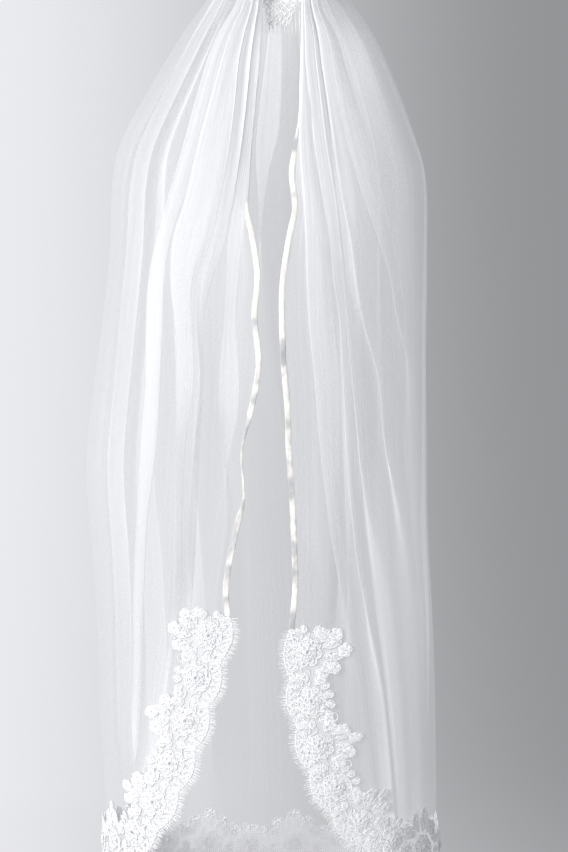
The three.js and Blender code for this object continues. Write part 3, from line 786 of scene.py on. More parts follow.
# %% Sweep a loop down the line
RIBBON_WIDTH = 7.8  # mm
RIBBON_STAND = 0.7  # mm from the tulle's edge to the face of the satin
RIBBON_FACES = {  # what share of its width faces the front, as it comes edge-on from behind the panel
    "left": {
        "z": (-1300, -712, -684, -600, -570, -312, -278, 0),
        "share": (1, 1, 0.36, 0.3, 1, 1, 0.34, 0.34)},
    "right": {"z": (-1300, -214, -178, 0), "share": (1, 1, 0.34, 0.34)},
}
RIBBON_LOOP = 16  # points
RIBBON_CUT = {"left": 0.0, "right": 60.0}  # mm: so that the two lengths aren't crushed alike


def ripple(steps, waves):
    """A sum of waves, each with its length in mm and its size."""
    return sum(
        size * np.sin(2 * np.pi * steps / length + rng.uniform(0, 2 * np.pi))
        for length, size in waves)


def ribbon_loops(steps, line, across, out, side_name):
    """What shapes the ribbon at each step, its loops, and where they lie flat."""
    faces_front = RIBBON_FACES[side_name]
    faces_front = np.interp(line[:, 2:], faces_front["z"], faces_front["share"])
    lean = ripple(steps, ((96, 0.1), (41, 0.07), (22, 0.04)))[:, None]
    width = RIBBON_WIDTH / 2 * (1 + ripple(steps, ((47, 0.02), (19, 0.012))))[:, None] * faces_front
    swell = RIBBON_STAND * (1 + ripple(steps, ((31, 0.2), (14, 0.12))))[:, None]
    shift = ripple(steps, ((61, 0.25), (27, 0.1)))[:, None]
    side = across * np.cos(lean) + out * np.sin(lean)
    face = out * np.cos(lean) - across * np.sin(lean)
    centre = line + across * (0.8 * width) + out * shift
    angles = np.arange(RIBBON_LOOP) / RIBBON_LOOP * 2 * np.pi
    a = np.sign(np.cos(angles)) * np.abs(np.cos(angles)) ** 0.55
    o = np.sign(np.sin(angles)) * np.abs(np.sin(angles)) ** 0.5
    late = ripple(steps, ((70, 1.5),))[:, None]
    pucker = 0.09 * np.sin(2 * np.pi * steps[:, None] / 13.0 + 2.2 * a + late)
    flat_a, flat_o = width * a, swell * o * (1 + pucker)
    loops = centre[:, None] + side[:, None] * flat_a[..., None] + face[:, None] * flat_o[..., None]
    round_loop = flat_a + o * 1.5 + RIBBON_CUT[side_name]
    flat = np.stack([round_loop, np.broadcast_to(steps[:, None], round_loop.shape)], -1)
    return {"centre": centre, "side": side, "face": face, "width": width, "swell": swell}, loops, flat


# %% Stitch it through
STITCH_PITCH = 3.2  # mm
STITCH_IN = 0.63  # of half the width: the row is near the inner edge
STITCH_LOOPS = ((0.12, -0.15), (0.26, 0.16), (0.12, -0.15))  # mm: half its width, and its height
STITCH_SUNK = -0.2  # mm
STITCH_FACES = np.concatenate([grid_faces(3, 4, closed=True), [[3, 2, 1, 0], [8, 9, 10, 11]]])
SATIN, THREAD = 0, 1


def stitch(shape, start):
    """The points of one stitch, a small closed bump in three loops, and where they lie flat."""
    i = np.clip((start + np.arange(3.0)) / RIBBON_STEP, 0, len(shape["centre"]) - 1.001)
    low, t = i.astype(int), (i % 1)[:, None]
    here = {part: table[low] * (1 - t) + table[low + 1] * t for part, table in shape.items()}
    middle = here["centre"] + here["side"] * (STITCH_IN * here["width"])
    middle = middle + here["face"] * (here["swell"] * 1.02)
    places, flat = [], []
    for k, (wide, high) in enumerate(STITCH_LOOPS):
        for u, v in ((-wide, STITCH_SUNK), (wide, STITCH_SUNK), (wide, high), (-wide, high)):
            places.append(middle[k] + here["side"][k] * u + here["face"][k] * v)
            flat.append((u, start + k))
    return places, flat


def ribbon(name, number, inward, side_name):
    """A satin binding with a row of stitches near its inner edge."""
    steps, line, across, out = ribbon_line(number, inward, RIBBON_FOOT[side_name])
    shape, loops, flat = ribbon_loops(steps, line, across, out, side_name)
    places, flat = list(loops.reshape(-1, 3)), list(flat.reshape(-1, 2))
    faces = grid_faces(len(steps), RIBBON_LOOP, closed=True).tolist()
    faces += [list(range(RIBBON_LOOP))[::-1], list(range(len(places) - RIBBON_LOOP, len(places)))]
    finishes = [SATIN] * len(faces)
    for start in np.arange(2.0, steps[-1] - 4.0, STITCH_PITCH):
        bump, bump_flat = stitch(shape, start)
        faces += (STITCH_FACES + len(places)).tolist()
        finishes += [THREAD] * len(STITCH_FACES)
        places += bump
        flat += [(u + RIBBON_CUT[side_name], along) for u, along in bump_flat]
    print(name, "length, mm:", round(steps[-1]), "triangles:", sum(len(f) - 2 for f in faces))
    return soft_piece(name, places, faces, flat, finishes)


def ready(piece):
    """Deselects all, and makes one piece the active and selected one."""
    bpy.ops.object.select_all(action="DESELECT")
    piece.select_set(True)
    bpy.context.view_layer.objects.active = piece


def outward(piece):
    """Turns the faces of a closed piece outwards."""
    ready(piece)
    bpy.ops.object.mode_set(mode="EDIT")
    bpy.ops.mesh.select_all(action="SELECT")
    bpy.ops.mesh.normals_make_consistent(inside=False)
    bpy.ops.object.mode_set(mode="OBJECT")


# %% [markdown]
# ## The finish of the ribbon
# This is polyester satin, warmer than the tulle. Its long smooth warp threads give a soft
# shine that stretches across them and goes dull in each pucker. Its lower half is crushed
# in more places than its upper half, and the shade of each crushed spot is painted: a slow
# noise moves its colour between a grey painted shade and a cream. The real warp is 0.1 mm,
# drawn at 0.7 mm so that it shows. The sewing thread is matt, and a little darker than the
# satin that it dents, with painted shade in stripes along the grooves between its plies.

# %% Satin and its thread
WAVE_SCALE = 0.314  # about pi / 10, at which a wave texture has one wave for each metre

satin, tree, shader = new_material("polyester satin ribbon")
shader.inputs["Roughness"].default_value = 0.36
shader.inputs["Anisotropic"].default_value = 0.5
shader.inputs["Sheen Weight"].default_value = 0.12
flat = add_node(tree, "ShaderNodeUVMap", {"uv_map": "flat"}).outputs["UV"]
crush_place = add_node(tree, "ShaderNodeMapping", Vector=flat, Scale=(30.0, 27.0, 1.0))
crush_and_shade = add_node(
    tree, "ShaderNodeTexNoise", {"noise_dimensions": "2D"},
    Vector=crush_place.outputs["Vector"], Scale=1.0, Detail=2.0)
# painted shade: the colour goes grey in the crushed spots, where the shine goes dull, and fewer of them
# are shaded in the upper half; the same noise also dents the satin
down = add_node(tree, "ShaderNodeSeparateXYZ", Vector=flat).outputs["Y"]
less_shade_above = add_node(tree, "ShaderNodeMapRange", i0=down, i1=0.36, i2=0.6, i3=0.16, i4=0.0).outputs[0]
shade_share = add_node(tree, "ShaderNodeMath", {"operation": "ADD"}, i0=crush_and_shade.outputs[0], i1=less_shade_above)
painted_shade_patch = add_node(tree, "ShaderNodeMapRange", i0=shade_share.outputs[0], i1=0.39, i2=0.55).outputs[0]
tone = add_node(
    tree, "ShaderNodeMix", {"data_type": "RGBA"}, i0=painted_shade_patch, i6=linear("#BDBCBE"), i7=linear("#F0EEE8"))
tree.links.new(tone.outputs[2], shader.inputs["Base Color"])
warp = add_node(
    tree, "ShaderNodeTexWave", {"wave_profile": "SIN", "bands_direction": "X"},
    Vector=flat, Scale=WAVE_SCALE / (0.7 * MM), Distortion=0.3)
relief = add_node(
    tree, "ShaderNodeMath", {"operation": "MULTIPLY_ADD"},
    i0=crush_and_shade.outputs[0], i1=1.5, i2=warp.outputs[0])
bump = add_node(tree, "ShaderNodeBump", Strength=0.6, Distance=0.12 * MM, Height=relief.outputs[0])
tree.links.new(bump.outputs["Normal"], shader.inputs["Normal"])

sewing_thread, tree, shader = new_material("spun polyester sewing thread")
shader.inputs["Roughness"].default_value = 0.7
flat = add_node(tree, "ShaderNodeUVMap", {"uv_map": "flat"}).outputs["UV"]
# painted shade: darker diagonal stripes along the grooves between the thread's twisted plies
ply_groove_shade = add_node(
    tree, "ShaderNodeTexWave", {"wave_profile": "SIN", "bands_direction": "DIAGONAL"},
    Vector=flat, Scale=WAVE_SCALE / (0.5 * MM))
tone = add_node(
    tree, "ShaderNodeMix", {"data_type": "RGBA"},
    i0=ply_groove_shade.outputs[0], i6=linear("#CFC8BF"), i7=linear("#E9E4DD"))
tree.links.new(tone.outputs[2], shader.inputs["Base Color"])

for node, number, inward, side_name in (
    ("ribbon_left", 0.0, 1, "left"), ("ribbon_right", float(FOLD_SPAN), -1, "right")):
    piece = ribbon(node + "_binding", number, inward, side_name)
    outward(piece)
    piece.data.materials.append(satin)
    piece.data.materials.append(sewing_thread)
    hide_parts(node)
    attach(piece, "root")

# %% [markdown]
# ## The frill over the comb
# Between the two panels the raw end of the gathered net hangs over the comb's teeth. It
# is drawn so tight that its hexagons have become long diamonds, big enough to see, and
# its cut edge is a row of points. An alpha pattern would blur at this size, so here the
# threads themselves are modelled: each runs down in a zigzag and meets the next one at
# every turn. They hang over a sheer layer.

# %% Hang the net
FRILL = {  # mm, and taper is its width at the foot as a share of that at the top
    "left": -22.0, "right": 28.0, "top": 3.4, "length": 41.0, "foot_middle": 0.8, "taper": 0.62,
    "stand": 5.0}
FRILL_POINTS = 7  # points of its cut edge
FRILL_THREADS = 8
FRILL_CELLS = 3.0  # diamonds down its length
FRILL_THREAD = 0.7  # mm, the radius; real net thread is finer, drawn so that it shows
SHEER_LAYER = -0.6  # the sheer layer lies behind the threads, by this share of a layer's spacing


def frill_point(across, down, layer):
    """A point of the frill, in mm. across and down run from 0 to 1."""
    width = (FRILL["right"] - FRILL["left"]) * (1 + (FRILL["taper"] - 1) * down)
    middle = (FRILL["left"] + FRILL["right"]) / 2
    middle = middle + (FRILL["foot_middle"] - middle) * down
    notch = np.abs((across * FRILL_POINTS + 0.5 * layer) % 1 - 0.5) * 2
    length = FRILL["length"] * (1 - 0.2 * notch) * (1.02 - 0.16 * across)
    ripple_out = (0.3 + 0.6 * down) * np.cos(2 * np.pi * FRILL_POINTS * across + 2.1 * layer)
    return np.stack([
        middle + (across - 0.5) * width + 0.5 * np.sin(9 * across + 4 * down),
        -FRILL["stand"] - 1.5 * layer + ripple_out,
        FRILL["top"] - length * down], -1)


def frill_thread(across):
    """The zigzag of one thread, as points down it."""
    steps = np.linspace(0, 1, 36) * rng.uniform(0.88, 1.0)
    turn = np.abs((steps * FRILL_CELLS + rng.uniform(-0.05, 0.05)) % 1 - 0.5) * 4 - 1
    way = 1 if round(across * FRILL_THREADS - 0.5) % 2 else -1
    place = across + way * turn * 0.5 / FRILL_THREADS + rng.uniform(-0.1, 0.1) / FRILL_THREADS
    return frill_point(np.clip(place, 0, 1), steps, 0)


def round_threads(paths, radius):
    """Points and faces of four-sided threads along paths of points. Each ends in a blunt tip."""
    points, faces, count = [], [], 0
    for path in paths:
        ahead = unit(np.gradient(path, axis=0))
        side = unit(np.cross(ahead, (0.0, 1.0, 0.0)))
        front = np.cross(side, ahead)
        taper = np.minimum(1, np.linspace(len(path), 0.4, len(path)) / 3)[:, None] * radius
        rings = [path + way * taper for way in (side, front, -side, -front)]
        points.append(np.stack(rings, 1).reshape(-1, 3))
        faces.append(grid_faces(len(path), 4, closed=True) + count)
        faces.append(np.array([[0, 1, 2, 3], [3, 2, 1, 0]]) + [[count], [count + 4 * (len(path) - 1)]])
        count += 4 * len(path)
    return np.concatenate(points), np.concatenate(faces)


paths = [frill_thread((i + 0.5) / FRILL_THREADS) for i in range(FRILL_THREADS)]
thread_points, thread_faces = round_threads(paths, FRILL_THREAD)
sheer_across, sheer_down = np.meshgrid(np.linspace(0, 1, 85), np.linspace(0, 0.94, 24))
sheer_points = frill_point(sheer_across, sheer_down, SHEER_LAYER)
sheer_faces = grid_faces(*sheer_across.shape) + len(thread_points)
frill_points = np.concatenate([thread_points, sheer_points.reshape(-1, 3)])
frill_faces = np.concatenate([thread_faces, sheer_faces]).tolist()
frill = soft_piece(
    "header_frill_net", frill_points, frill_faces, frill_points[:, [0, 2]],
    [0] * len(thread_faces) + [1] * len(sheer_faces))
keep_net(frill, 0.8, 0.6)
print("frill threads:", len(paths), "triangles:", 2 * len(frill_faces))

# %% The finish of its threads
# Nylon net thread is fine, round and a little glossy, so each keeps a thin bright line.
net_thread, tree, shader = new_material("nylon net thread")
shader.inputs["Roughness"].default_value = 0.6
flat = add_node(tree, "ShaderNodeUVMap", {"uv_map": "flat"}).outputs["UV"]
slubs = add_node(
    tree, "ShaderNodeTexNoise", {"noise_dimensions": "2D"}, Vector=flat, Scale=500.0, Detail=1.0)
tone = add_node(
    tree, "ShaderNodeMix", {"data_type": "RGBA"},
    i0=slubs.outputs[0], i6=linear("#F0EFED"), i7=linear("#FFFFFF"))
tree.links.new(tone.outputs[2], shader.inputs["Base Color"])
frill.data.materials.append(net_thread)
frill.data.materials.append(soft_tulle)
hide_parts("header_frill")
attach(frill, "root")

# %% [markdown]
# ## The comb
# The header is sewn to a clear moulded comb, which the veil almost hides. It is modelled
# as by hand: a block is rounded into the bar, one tooth is drawn down to a blunt tip, and
# copies of the tooth are joined to the bar. At this size clear plastic is best made with a
# low Alpha and a gloss: Transmission would fill the thin teeth with specks.

# %% Model the bar and one tooth
COMB = {  # mm
    "width": 72.0, "height": 8.0, "thick": 3.0, "rounding": 1.4, "teeth": 14, "tooth_width": 2.2,
    "tooth_length": 36.0}
TOOTH_CUTS = (-15.0, -9.0, 6.0)  # mm from the tooth's middle
TOOTH_NARROWS = ((-8.9, 0.86), (-14.9, 0.8))  # mm from its middle, and the width left below there
TOOTH_TIP = 0.42  # the width left at its foot
TIP_ROUNDING = 0.28  # mm


def choose_below(piece, height):
    """In edit mode with vertices, selects those below a height in mm."""
    bpy.ops.object.mode_set(mode="OBJECT")
    for group in (piece.data.polygons, piece.data.edges):
        group.foreach_set("select", [False] * len(group))
    for vertex in piece.data.vertices:
        vertex.select = bool(vertex.co.z / MM < height)
    bpy.ops.object.mode_set(mode="EDIT")
    bpy.ops.mesh.select_mode(type="VERT")


bpy.ops.object.select_all(action="DESELECT")
bpy.ops.mesh.primitive_cube_add(size=1, location=(0, 0, 0))
bar = bpy.context.object
bar.scale = (COMB["width"] * MM, COMB["thick"] * MM, COMB["height"] * MM)
bpy.ops.object.transform_apply(location=False, rotation=False, scale=True)
rounding = bar.modifiers.new("rounded edges", "BEVEL")
rounding.width, rounding.segments = COMB["rounding"] * MM, 4
bpy.ops.object.modifier_apply(modifier=rounding.name)

bpy.ops.object.select_all(action="DESELECT")
bpy.ops.mesh.primitive_cylinder_add(
    vertices=12, radius=COMB["tooth_width"] / 2 * MM, depth=COMB["tooth_length"] * MM,
    location=(0, 0, 0))
tooth = bpy.context.object
bpy.ops.object.mode_set(mode="EDIT")
for cut in TOOTH_CUTS:
    bpy.ops.mesh.select_all(action="SELECT")
    bpy.ops.mesh.bisect(plane_co=(0, 0, cut * MM), plane_no=(0, 0, 1))
foot = -COMB["tooth_length"] / 2
for below, share in (*TOOTH_NARROWS, (foot + 0.1, TOOTH_TIP)):
    choose_below(tooth, below)
    bpy.ops.transform.resize(value=(share, share, 1.0), center_override=(0, 0, foot * MM))
choose_below(tooth, foot + 0.1)
bpy.ops.mesh.bevel(offset=TIP_ROUNDING * MM, segments=2, affect="EDGES")
bpy.ops.object.mode_set(mode="OBJECT")
print("bar and tooth, faces:", len(bar.data.polygons), len(tooth.data.polygons))

# %% Set the teeth along the bar
pitch = (COMB["width"] - COMB["tooth_width"] - 2) / (COMB["teeth"] - 1)
first_x = -COMB["width"] / 2 + 1 + COMB["tooth_width"] / 2
teeth = []
for i in range(COMB["teeth"]):
    copy = tooth.copy()
    copy.data = tooth.data.copy()
    copy.location = (
        (first_x + i * pitch) * MM, 0, -(COMB["height"] + COMB["tooth_length"]) / 2 * MM)
    bpy.context.collection.objects.link(copy)
    teeth.append(copy)
bpy.data.objects.remove(tooth)
ready(bar)
for copy in teeth:
    copy.select_set(True)
bpy.ops.object.join()
bar.name = bar.data.name = "comb_clear"
bpy.ops.object.transform_apply(location=True, rotation=True, scale=True)
outward(bar)
bpy.ops.object.shade_smooth_by_angle(angle=math.radians(40))

# %% The finish of the comb
# Moulded clear polycarbonate is glossy, with the faint haze and flow marks of moulding.
clear_plastic, tree, shader = new_material("moulded clear polycarbonate")
shader.inputs["Base Color"].default_value = linear("#F8F8F6")
shader.inputs["Alpha"].default_value = 0.32
shader.inputs["IOR"].default_value = 1.58
place = add_node(tree, "ShaderNodeTexCoord").outputs["Object"]
haze = add_node(tree, "ShaderNodeTexNoise", Vector=place, Scale=220.0, Detail=2.0)
dull = add_node(tree, "ShaderNodeMapRange", i0=haze.outputs[0], i3=0.22, i4=0.4).outputs[0]
tree.links.new(dull, shader.inputs["Roughness"])
flow_place = add_node(tree, "ShaderNodeMapping", Vector=place, Scale=(1.0, 1.0, 0.2))
flow = add_node(
    tree, "ShaderNodeTexNoise", Vector=flow_place.outputs["Vector"], Scale=420.0, Detail=1.0)
bump = add_node(tree, "ShaderNodeBump", Strength=0.3, Distance=0.05 * MM, Height=flow.outputs[0])
tree.links.new(bump.outputs["Normal"], shader.inputs["Normal"])
bar.data.materials.clear()
bar.data.materials.append(clear_plastic)
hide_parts("comb")
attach(bar, "root")
print("comb, triangles:", sum(len(p.vertices) - 2 for p in bar.data.polygons))

# %% [markdown]
# ## The lace
# Alençon lace is a net ground with flowers and leaves worked in dense satin stitch, each
# outlined by a raised cord, with sequins and beads sewn on. Its cut edge is scalloped and
# keeps a fringe of warp threads, the eyelash. At this size the cords and petals are big
# enough to catch the light, so they are modelled. One motif is laid out flat in
# millimetres, x along the hem and y in from the cut edge, and each copy is varied a
# little, and then laid on the cloth as a seamstress would lay the real strip.

# %% Measure round the cloth at each height
FLAT_STEP = 4.0  # mm
FLAT_HEIGHTS = np.arange(-1240.0, -756.0, FLAT_STEP)
TURN_STEPS = 400
FLAT_TURNS = np.linspace(0, 4, TURN_STEPS + 1)
flat_points = section(level_at_height(FLAT_HEIGHTS)[:, None], FLAT_TURNS[None, :])
FLAT_ARCS = np.hstack([
    np.zeros((len(FLAT_HEIGHTS), 1)),
    np.linalg.norm(np.diff(flat_points, axis=1), axis=2).cumsum(axis=1)])


def height_row(z):
    """The two table rows on either side of a height, and the share of the upper one."""
    place = (np.asarray(z, float) - FLAT_HEIGHTS[0]) / FLAT_STEP
    place = np.clip(place, 0, len(FLAT_HEIGHTS) - 1.001)
    low = place.astype(int)
    return low, place - low


def arc_at(z, turn):
    """How far round the cloth a turn is, at a height."""
    low, share = height_row(z)
    place = np.clip(np.asarray(turn, float), 0, 4) * (TURN_STEPS / 4)
    i = np.clip(place.astype(int), 0, TURN_STEPS - 1)
    t = place - i
    below, above = (FLAT_ARCS[row, i] * (1 - t) + FLAT_ARCS[row, i + 1] * t for row in (low, low + 1))
    return below * (1 - share) + above * share


def turn_at_arc(z, arc):
    """The turn at a distance round the cloth."""
    low, share = height_row(z)
    turn = np.empty(arc.shape)
    for row in np.unique(low):
        here = low == row
        below = np.interp(arc[here], FLAT_ARCS[row], FLAT_TURNS)
        above = np.interp(arc[here], FLAT_ARCS[row + 1], FLAT_TURNS)
        turn[here] = below * (1 - share[here]) + above * share[here]
    return turn


# %% Lay the hem out flat
BEHIND = float(arc_at(HEM["side"], 3) - arc_at(HEM["side"], 1))  # mm round the back
HEM_STEPS = 600
HEM_EVENED = 12  # steps to either side over which its direction is taken


def flat_frame(z, start):
    """Where a strip laid flat has its zero round the cloth, and its scale. It begins at a turn."""
    zero = arc_at(z, 3 if start == 3 else 1)
    scale = BEHIND / (arc_at(z, 3) - arc_at(z, 1)) if start == 1 else 1.0
    return zero, scale


def hem_line(start, end):
    """The hem between two turns, laid out flat: points, lengths along it and ways inward."""
    turns = np.linspace(start, end, HEM_STEPS)
    z = hem_height(turns)
    zero, scale = flat_frame(z, start)
    line = np.stack([(arc_at(z, turns) - zero) * scale, z], -1)
    lengths = np.concatenate([[0], np.linalg.norm(np.diff(line, axis=0), axis=1).cumsum()])
    each = np.arange(HEM_STEPS)
    far, near = np.minimum(each + HEM_EVENED, HEM_STEPS - 1), np.maximum(each - HEM_EVENED, 0)
    ahead = unit(line[far] - line[near])
    return line, lengths, np.stack([-ahead[:, 1], ahead[:, 0]], -1)


# %% Put points of the flat strip on the cloth
TRIM_STAND = 3.0  # mm from the tulle to the underside of the lace


def on_the_hem(start, end, flat):
    """Puts points of the flat strip (along, in from the cut edge, height) on the cloth."""
    line, lengths, inward = hem_line(start, end)
    along = np.clip(flat[:, 0], 0, lengths[-1])
    at = np.stack([np.interp(along, lengths, line[:, k]) for k in (0, 1)], -1)
    way = unit(np.stack([np.interp(along, lengths, inward[:, k]) for k in (0, 1)], -1))
    beyond = (flat[:, 0] - along)[:, None]
    spot = at + way * flat[:, 1:2] + np.stack([way[:, 1], -way[:, 0]], -1) * beyond
    z = spot[:, 1]
    zero, scale = flat_frame(z, start)
    arc = spot[:, 0] / scale + zero
    whole = arc_at(z, 4)
    past = np.where(arc < 0, -arc, np.minimum(whole - arc, 0))  # over a front edge, straight on
    turn = turn_at_arc(z, np.clip(arc, 0, whole))
    level = level_at_height(z)
    point = cloth(level, fold_number(level, turn), TRIM_STAND + flat[:, 2], over_folds=True)
    point[:, 0] += past
    return point


LENGTHS = {"lace_front_left": (0, 1), "lace_hem_back": (1, 3), "lace_front_right": (3, 4)}  # turns
for node, (start, end) in LENGTHS.items():
    print(node, "length, mm:", round(hem_line(start, end)[1][-1]))

# %% Collect the shapes of a strip
STITCH, CORD, SEQUIN, BEAD, GROUND = range(5)


class Strip:
    """Collects the flat points, faces, stitch coordinates and finishes of a strip of lace."""

    def __init__(self):
        self.points, self.faces, self.stitches, self.finishes, self.count = [], [], [], [], 0

    def joined(self):
        """All of them, each as one array."""
        parts = (self.points, self.faces, self.stitches, self.finishes)
        return [np.concatenate(part) for part in parts]

    def add(self, points, faces, stitches, finish):
        """Adds a shape. finish is one number, or one for each face."""
        self.points.append(points)
        self.faces.append(faces + self.count)
        self.stitches.append(stitches)
        self.finishes.append(np.zeros(len(faces), int) + finish)
        self.count += len(points)


# %% A cord and a petal
def turned(points, angle, x, y):
    """Flat points turned by an angle and moved."""
    c, s = math.cos(angle), math.sin(angle)
    along, across = points[..., 0], points[..., 1]
    return np.stack([x + along * c - across * s, y + along * s + across * c], -1)


def cord_along(strip, path, radius, height, closed=False):
    """A round cord along a flat path. An open cord tapers to a point at both ends."""
    if closed:
        ahead = unit(np.roll(path, -1, 0) - np.roll(path, 1, 0))
        radii = np.full(len(path), radius)
    else:
        ahead = unit(np.gradient(path, axis=0))
        radii = radius * np.sin(np.pi * np.clip(np.linspace(0, 1, len(path)), 0.001, 0.999)) ** 0.35
    across = np.stack([-ahead[:, 1], ahead[:, 0]], -1)
    rings = []
    for phi in (0, np.pi / 2, np.pi, 3 * np.pi / 2):
        flat = path + across * (radii * np.cos(phi))[:, None]
        rings.append(np.column_stack([flat, height + radii * (1 + np.sin(phi)) * 0.8]))
    points = np.stack(rings, 1)
    if closed:
        points = np.concatenate([points, points[:1]], 0)
    steps = np.concatenate([[0], np.linalg.norm(np.diff(points[:, 0], axis=0), axis=1).cumsum()])
    stitches = np.stack([np.repeat(steps, 4), np.tile(np.arange(4) * radius * 1.5, len(steps))], -1)
    strip.add(points.reshape(-1, 3), grid_faces(len(points), 4, closed=True), stitches, CORD)


def petal(strip, x, y, angle, length, width, height=0.0, dome=1.4, bend=0.0, round_tip=True, cord=0.85):
    """A domed petal or leaf with a cord round it. Its base is at x, y and it points along angle."""
    t = np.linspace(0, 1, 7)[:, None]
    v = np.linspace(-1, 1, 5)[None, :]
    half = width / 2 * (np.sin(np.pi * t**1.35) ** 0.62 if round_tip else np.sin(np.pi * t) ** 0.85)
    half = np.maximum(half, 0.05)
    flat = np.stack([t * length + 0 * v, v * half + bend * np.sin(np.pi * t)], -1)
    ridge = 0.5 * np.exp(-((v / 0.35) ** 2)) if not round_tip else -0.45 * np.exp(-((v / 0.3) ** 2))
    z = height + 0.25 + dome * (1 - v**2) * np.sin(np.pi * t) ** 0.5 + ridge * np.sin(np.pi * t)
    points = np.concatenate([turned(flat, angle, x, y), z[..., None] + 0 * flat[..., :1]], -1)
    strip.add(points.reshape(-1, 3), grid_faces(7, 5), flat.reshape(-1, 2), STITCH)
    outline = np.concatenate([flat[:, 0], flat[::-1, -1][1:-1]])
    cord_along(strip, turned(outline, angle, x, y), cord, height, closed=True)


# %% A sequin, a bead and a flower
def disc(strip, x, y, radius, height, finish, tilt=(0.0, 0.0), sides=8, dome=0.35):
    """A small sequin or bead: a ring of points round a raised or sunk middle."""
    turn = np.linspace(0, 2 * np.pi, sides, endpoint=False)
    flat = np.stack([np.cos(turn), np.sin(turn)], -1) * radius
    ring = np.column_stack([flat + (x, y), height + flat @ np.array(tilt)])
    inner = np.column_stack([flat * 0.35 + (x, y), np.full(sides, height + dome)])
    points = np.concatenate([ring, inner, [[x, y, height + dome]]])
    wall = grid_faces(2, sides, closed=True)
    a = np.arange(0, sides, 2)
    cap = [sides + a, sides + (a + 1) % sides, sides + (a + 2) % sides, np.full(len(a), 2 * sides)]
    strip.add(points, np.concatenate([wall, np.stack(cap, -1)]), points[:, :2], finish)


def flower(strip, x, y, petals, inner, outer, width, height=0.0, turn=0.0, cord=0.85):
    """A ring of petals round a middle. inner and outer are how far out they begin and end."""
    for i in range(petals):
        angle = turn + 2 * math.pi * (i + rng.uniform(-0.08, 0.08)) / petals
        reach = (outer - inner) * rng.uniform(0.9, 1.08)
        petal(
            strip, x + inner * math.cos(angle), y + inner * math.sin(angle), angle, reach,
            width * rng.uniform(0.92, 1.08), height, bend=rng.uniform(-0.6, 0.6), cord=cord)


# %% The plan of one motif, in millimetres
MOTIF_PITCH = 62.0
SCALLOP = 9.0
FLOWER_IN = 24.5  # from the line of the hem to the flower's middle


def scallop_at(x):
    """How far in the cut edge lies at a place of the motif. It bulges outwards in the middle."""
    return -SCALLOP * np.abs(np.cos(np.pi * np.asarray(x, float) / MOTIF_PITCH))


LARGE_LEAVES = (  # x, y, angle in degrees, length, width: a fan that reaches far in
    (-13, 43, 132, 22, 11), (-6, 45, 108, 25, 11.5), (4, 46, 84, 26, 11.5), (12, 44, 58, 23, 11),
    (-21, 36, 158, 15, 9), (20, 36, 24, 15, 9), (-26, 20, 192, 11, 8), (25, 20, -12, 11, 8),
)
LARGE_FLOWERS = (  # x, y, radius
    (-21, 60, 9), (2, 73, 9.5), (21, 61, 9), (-27, 44, 7.5), (27, 45, 7.5))
SMALL_LEAVES = (
    (-14, 41, 128, 13, 9), (-5, 44, 102, 13, 9.5), (5, 44, 78, 13, 9.5), (14, 41, 52, 13, 9),
    (-20, 34, 155, 12, 9), (20, 34, 25, 12, 9), (-25, 22, 186, 9, 8), (25, 22, -6, 9, 8),
)
SMALL_FLOWERS = ((-24, 44, 6.5), (25, 43, 6.5))
TENDRILS = (  # each is a run of points
    ((-30, 28), (-25, 40), (-29, 52), (-24, 57), (-18, 54), (-20, 49)),
    ((-31, 8), (-26, 17), (-17, 15), (-20, 25), (-28, 27)),
    ((31, 7), (26, 16), (18, 14), (20, 24), (29, 27)),
)
SEQUINS = {"large": (14, 68), "small": (9, 46)}  # how many a motif has, and how far in they reach
BEAD_RING = {"beads": 8, "radius": 4.6}


# %% Cords round a flower
def smooth_path(points, steps):
    """A smooth curve through flat points, as this many points."""
    points = np.asarray(points, float)
    places = np.arange(len(points))
    at = np.linspace(0, len(points) - 1, steps)
    return np.stack([smooth(places, points[:, k], at) for k in (0, 1)], -1)


def round_cord(strip, x, y, radius, height, thick=0.8):
    """A ring of cord round a flower's middle."""
    angles = np.linspace(0, 2 * np.pi, 17)[:-1]
    path = np.stack([x + radius * np.cos(angles), y + radius * np.sin(angles)], -1)
    cord_along(strip, path, thick, height, closed=True)


def arched_cord(strip, x, y, radius, height, thick):
    """A hand-laid cord most of the way round a flower."""
    angles = rng.uniform(0, 2 * np.pi) + np.linspace(0, 1.45 * np.pi, 21)
    radii = radius + 0.7 * np.sin(2.3 * angles)
    path = np.stack([x + radii * np.cos(angles), y + 0.94 * radii * np.sin(angles)], -1)
    cord_along(strip, path, thick, height)


# %% Put a motif together
def sprays(strip, large, flip):
    """The leaves and the small flowers round a motif's flower."""
    leaves, flowers = (LARGE_LEAVES, LARGE_FLOWERS) if large else (SMALL_LEAVES, SMALL_FLOWERS)
    for x, y, degrees, length, width in leaves:
        degrees = degrees if flip > 0 else 180 - degrees
        angle = math.radians(degrees + rng.uniform(-7, 7))
        petal(
            strip, flip * x, y, angle, length * rng.uniform(0.93, 1.12), width, height=0.2, dome=1.1,
            bend=rng.uniform(-1.5, 1.5), round_tip=not large)
    for x, y, radius in flowers:
        x, y = x + rng.uniform(-1.5, 1.5), y + rng.uniform(-2, 2)
        flower(
            strip, x, y, petals=5, inner=1.5, outer=radius, width=radius * 0.85, height=0.8,
            turn=rng.uniform(0, 1), cord=0.7)
        disc(strip, x, y, 1.1, 3.0, BEAD, sides=6, dome=0.8)


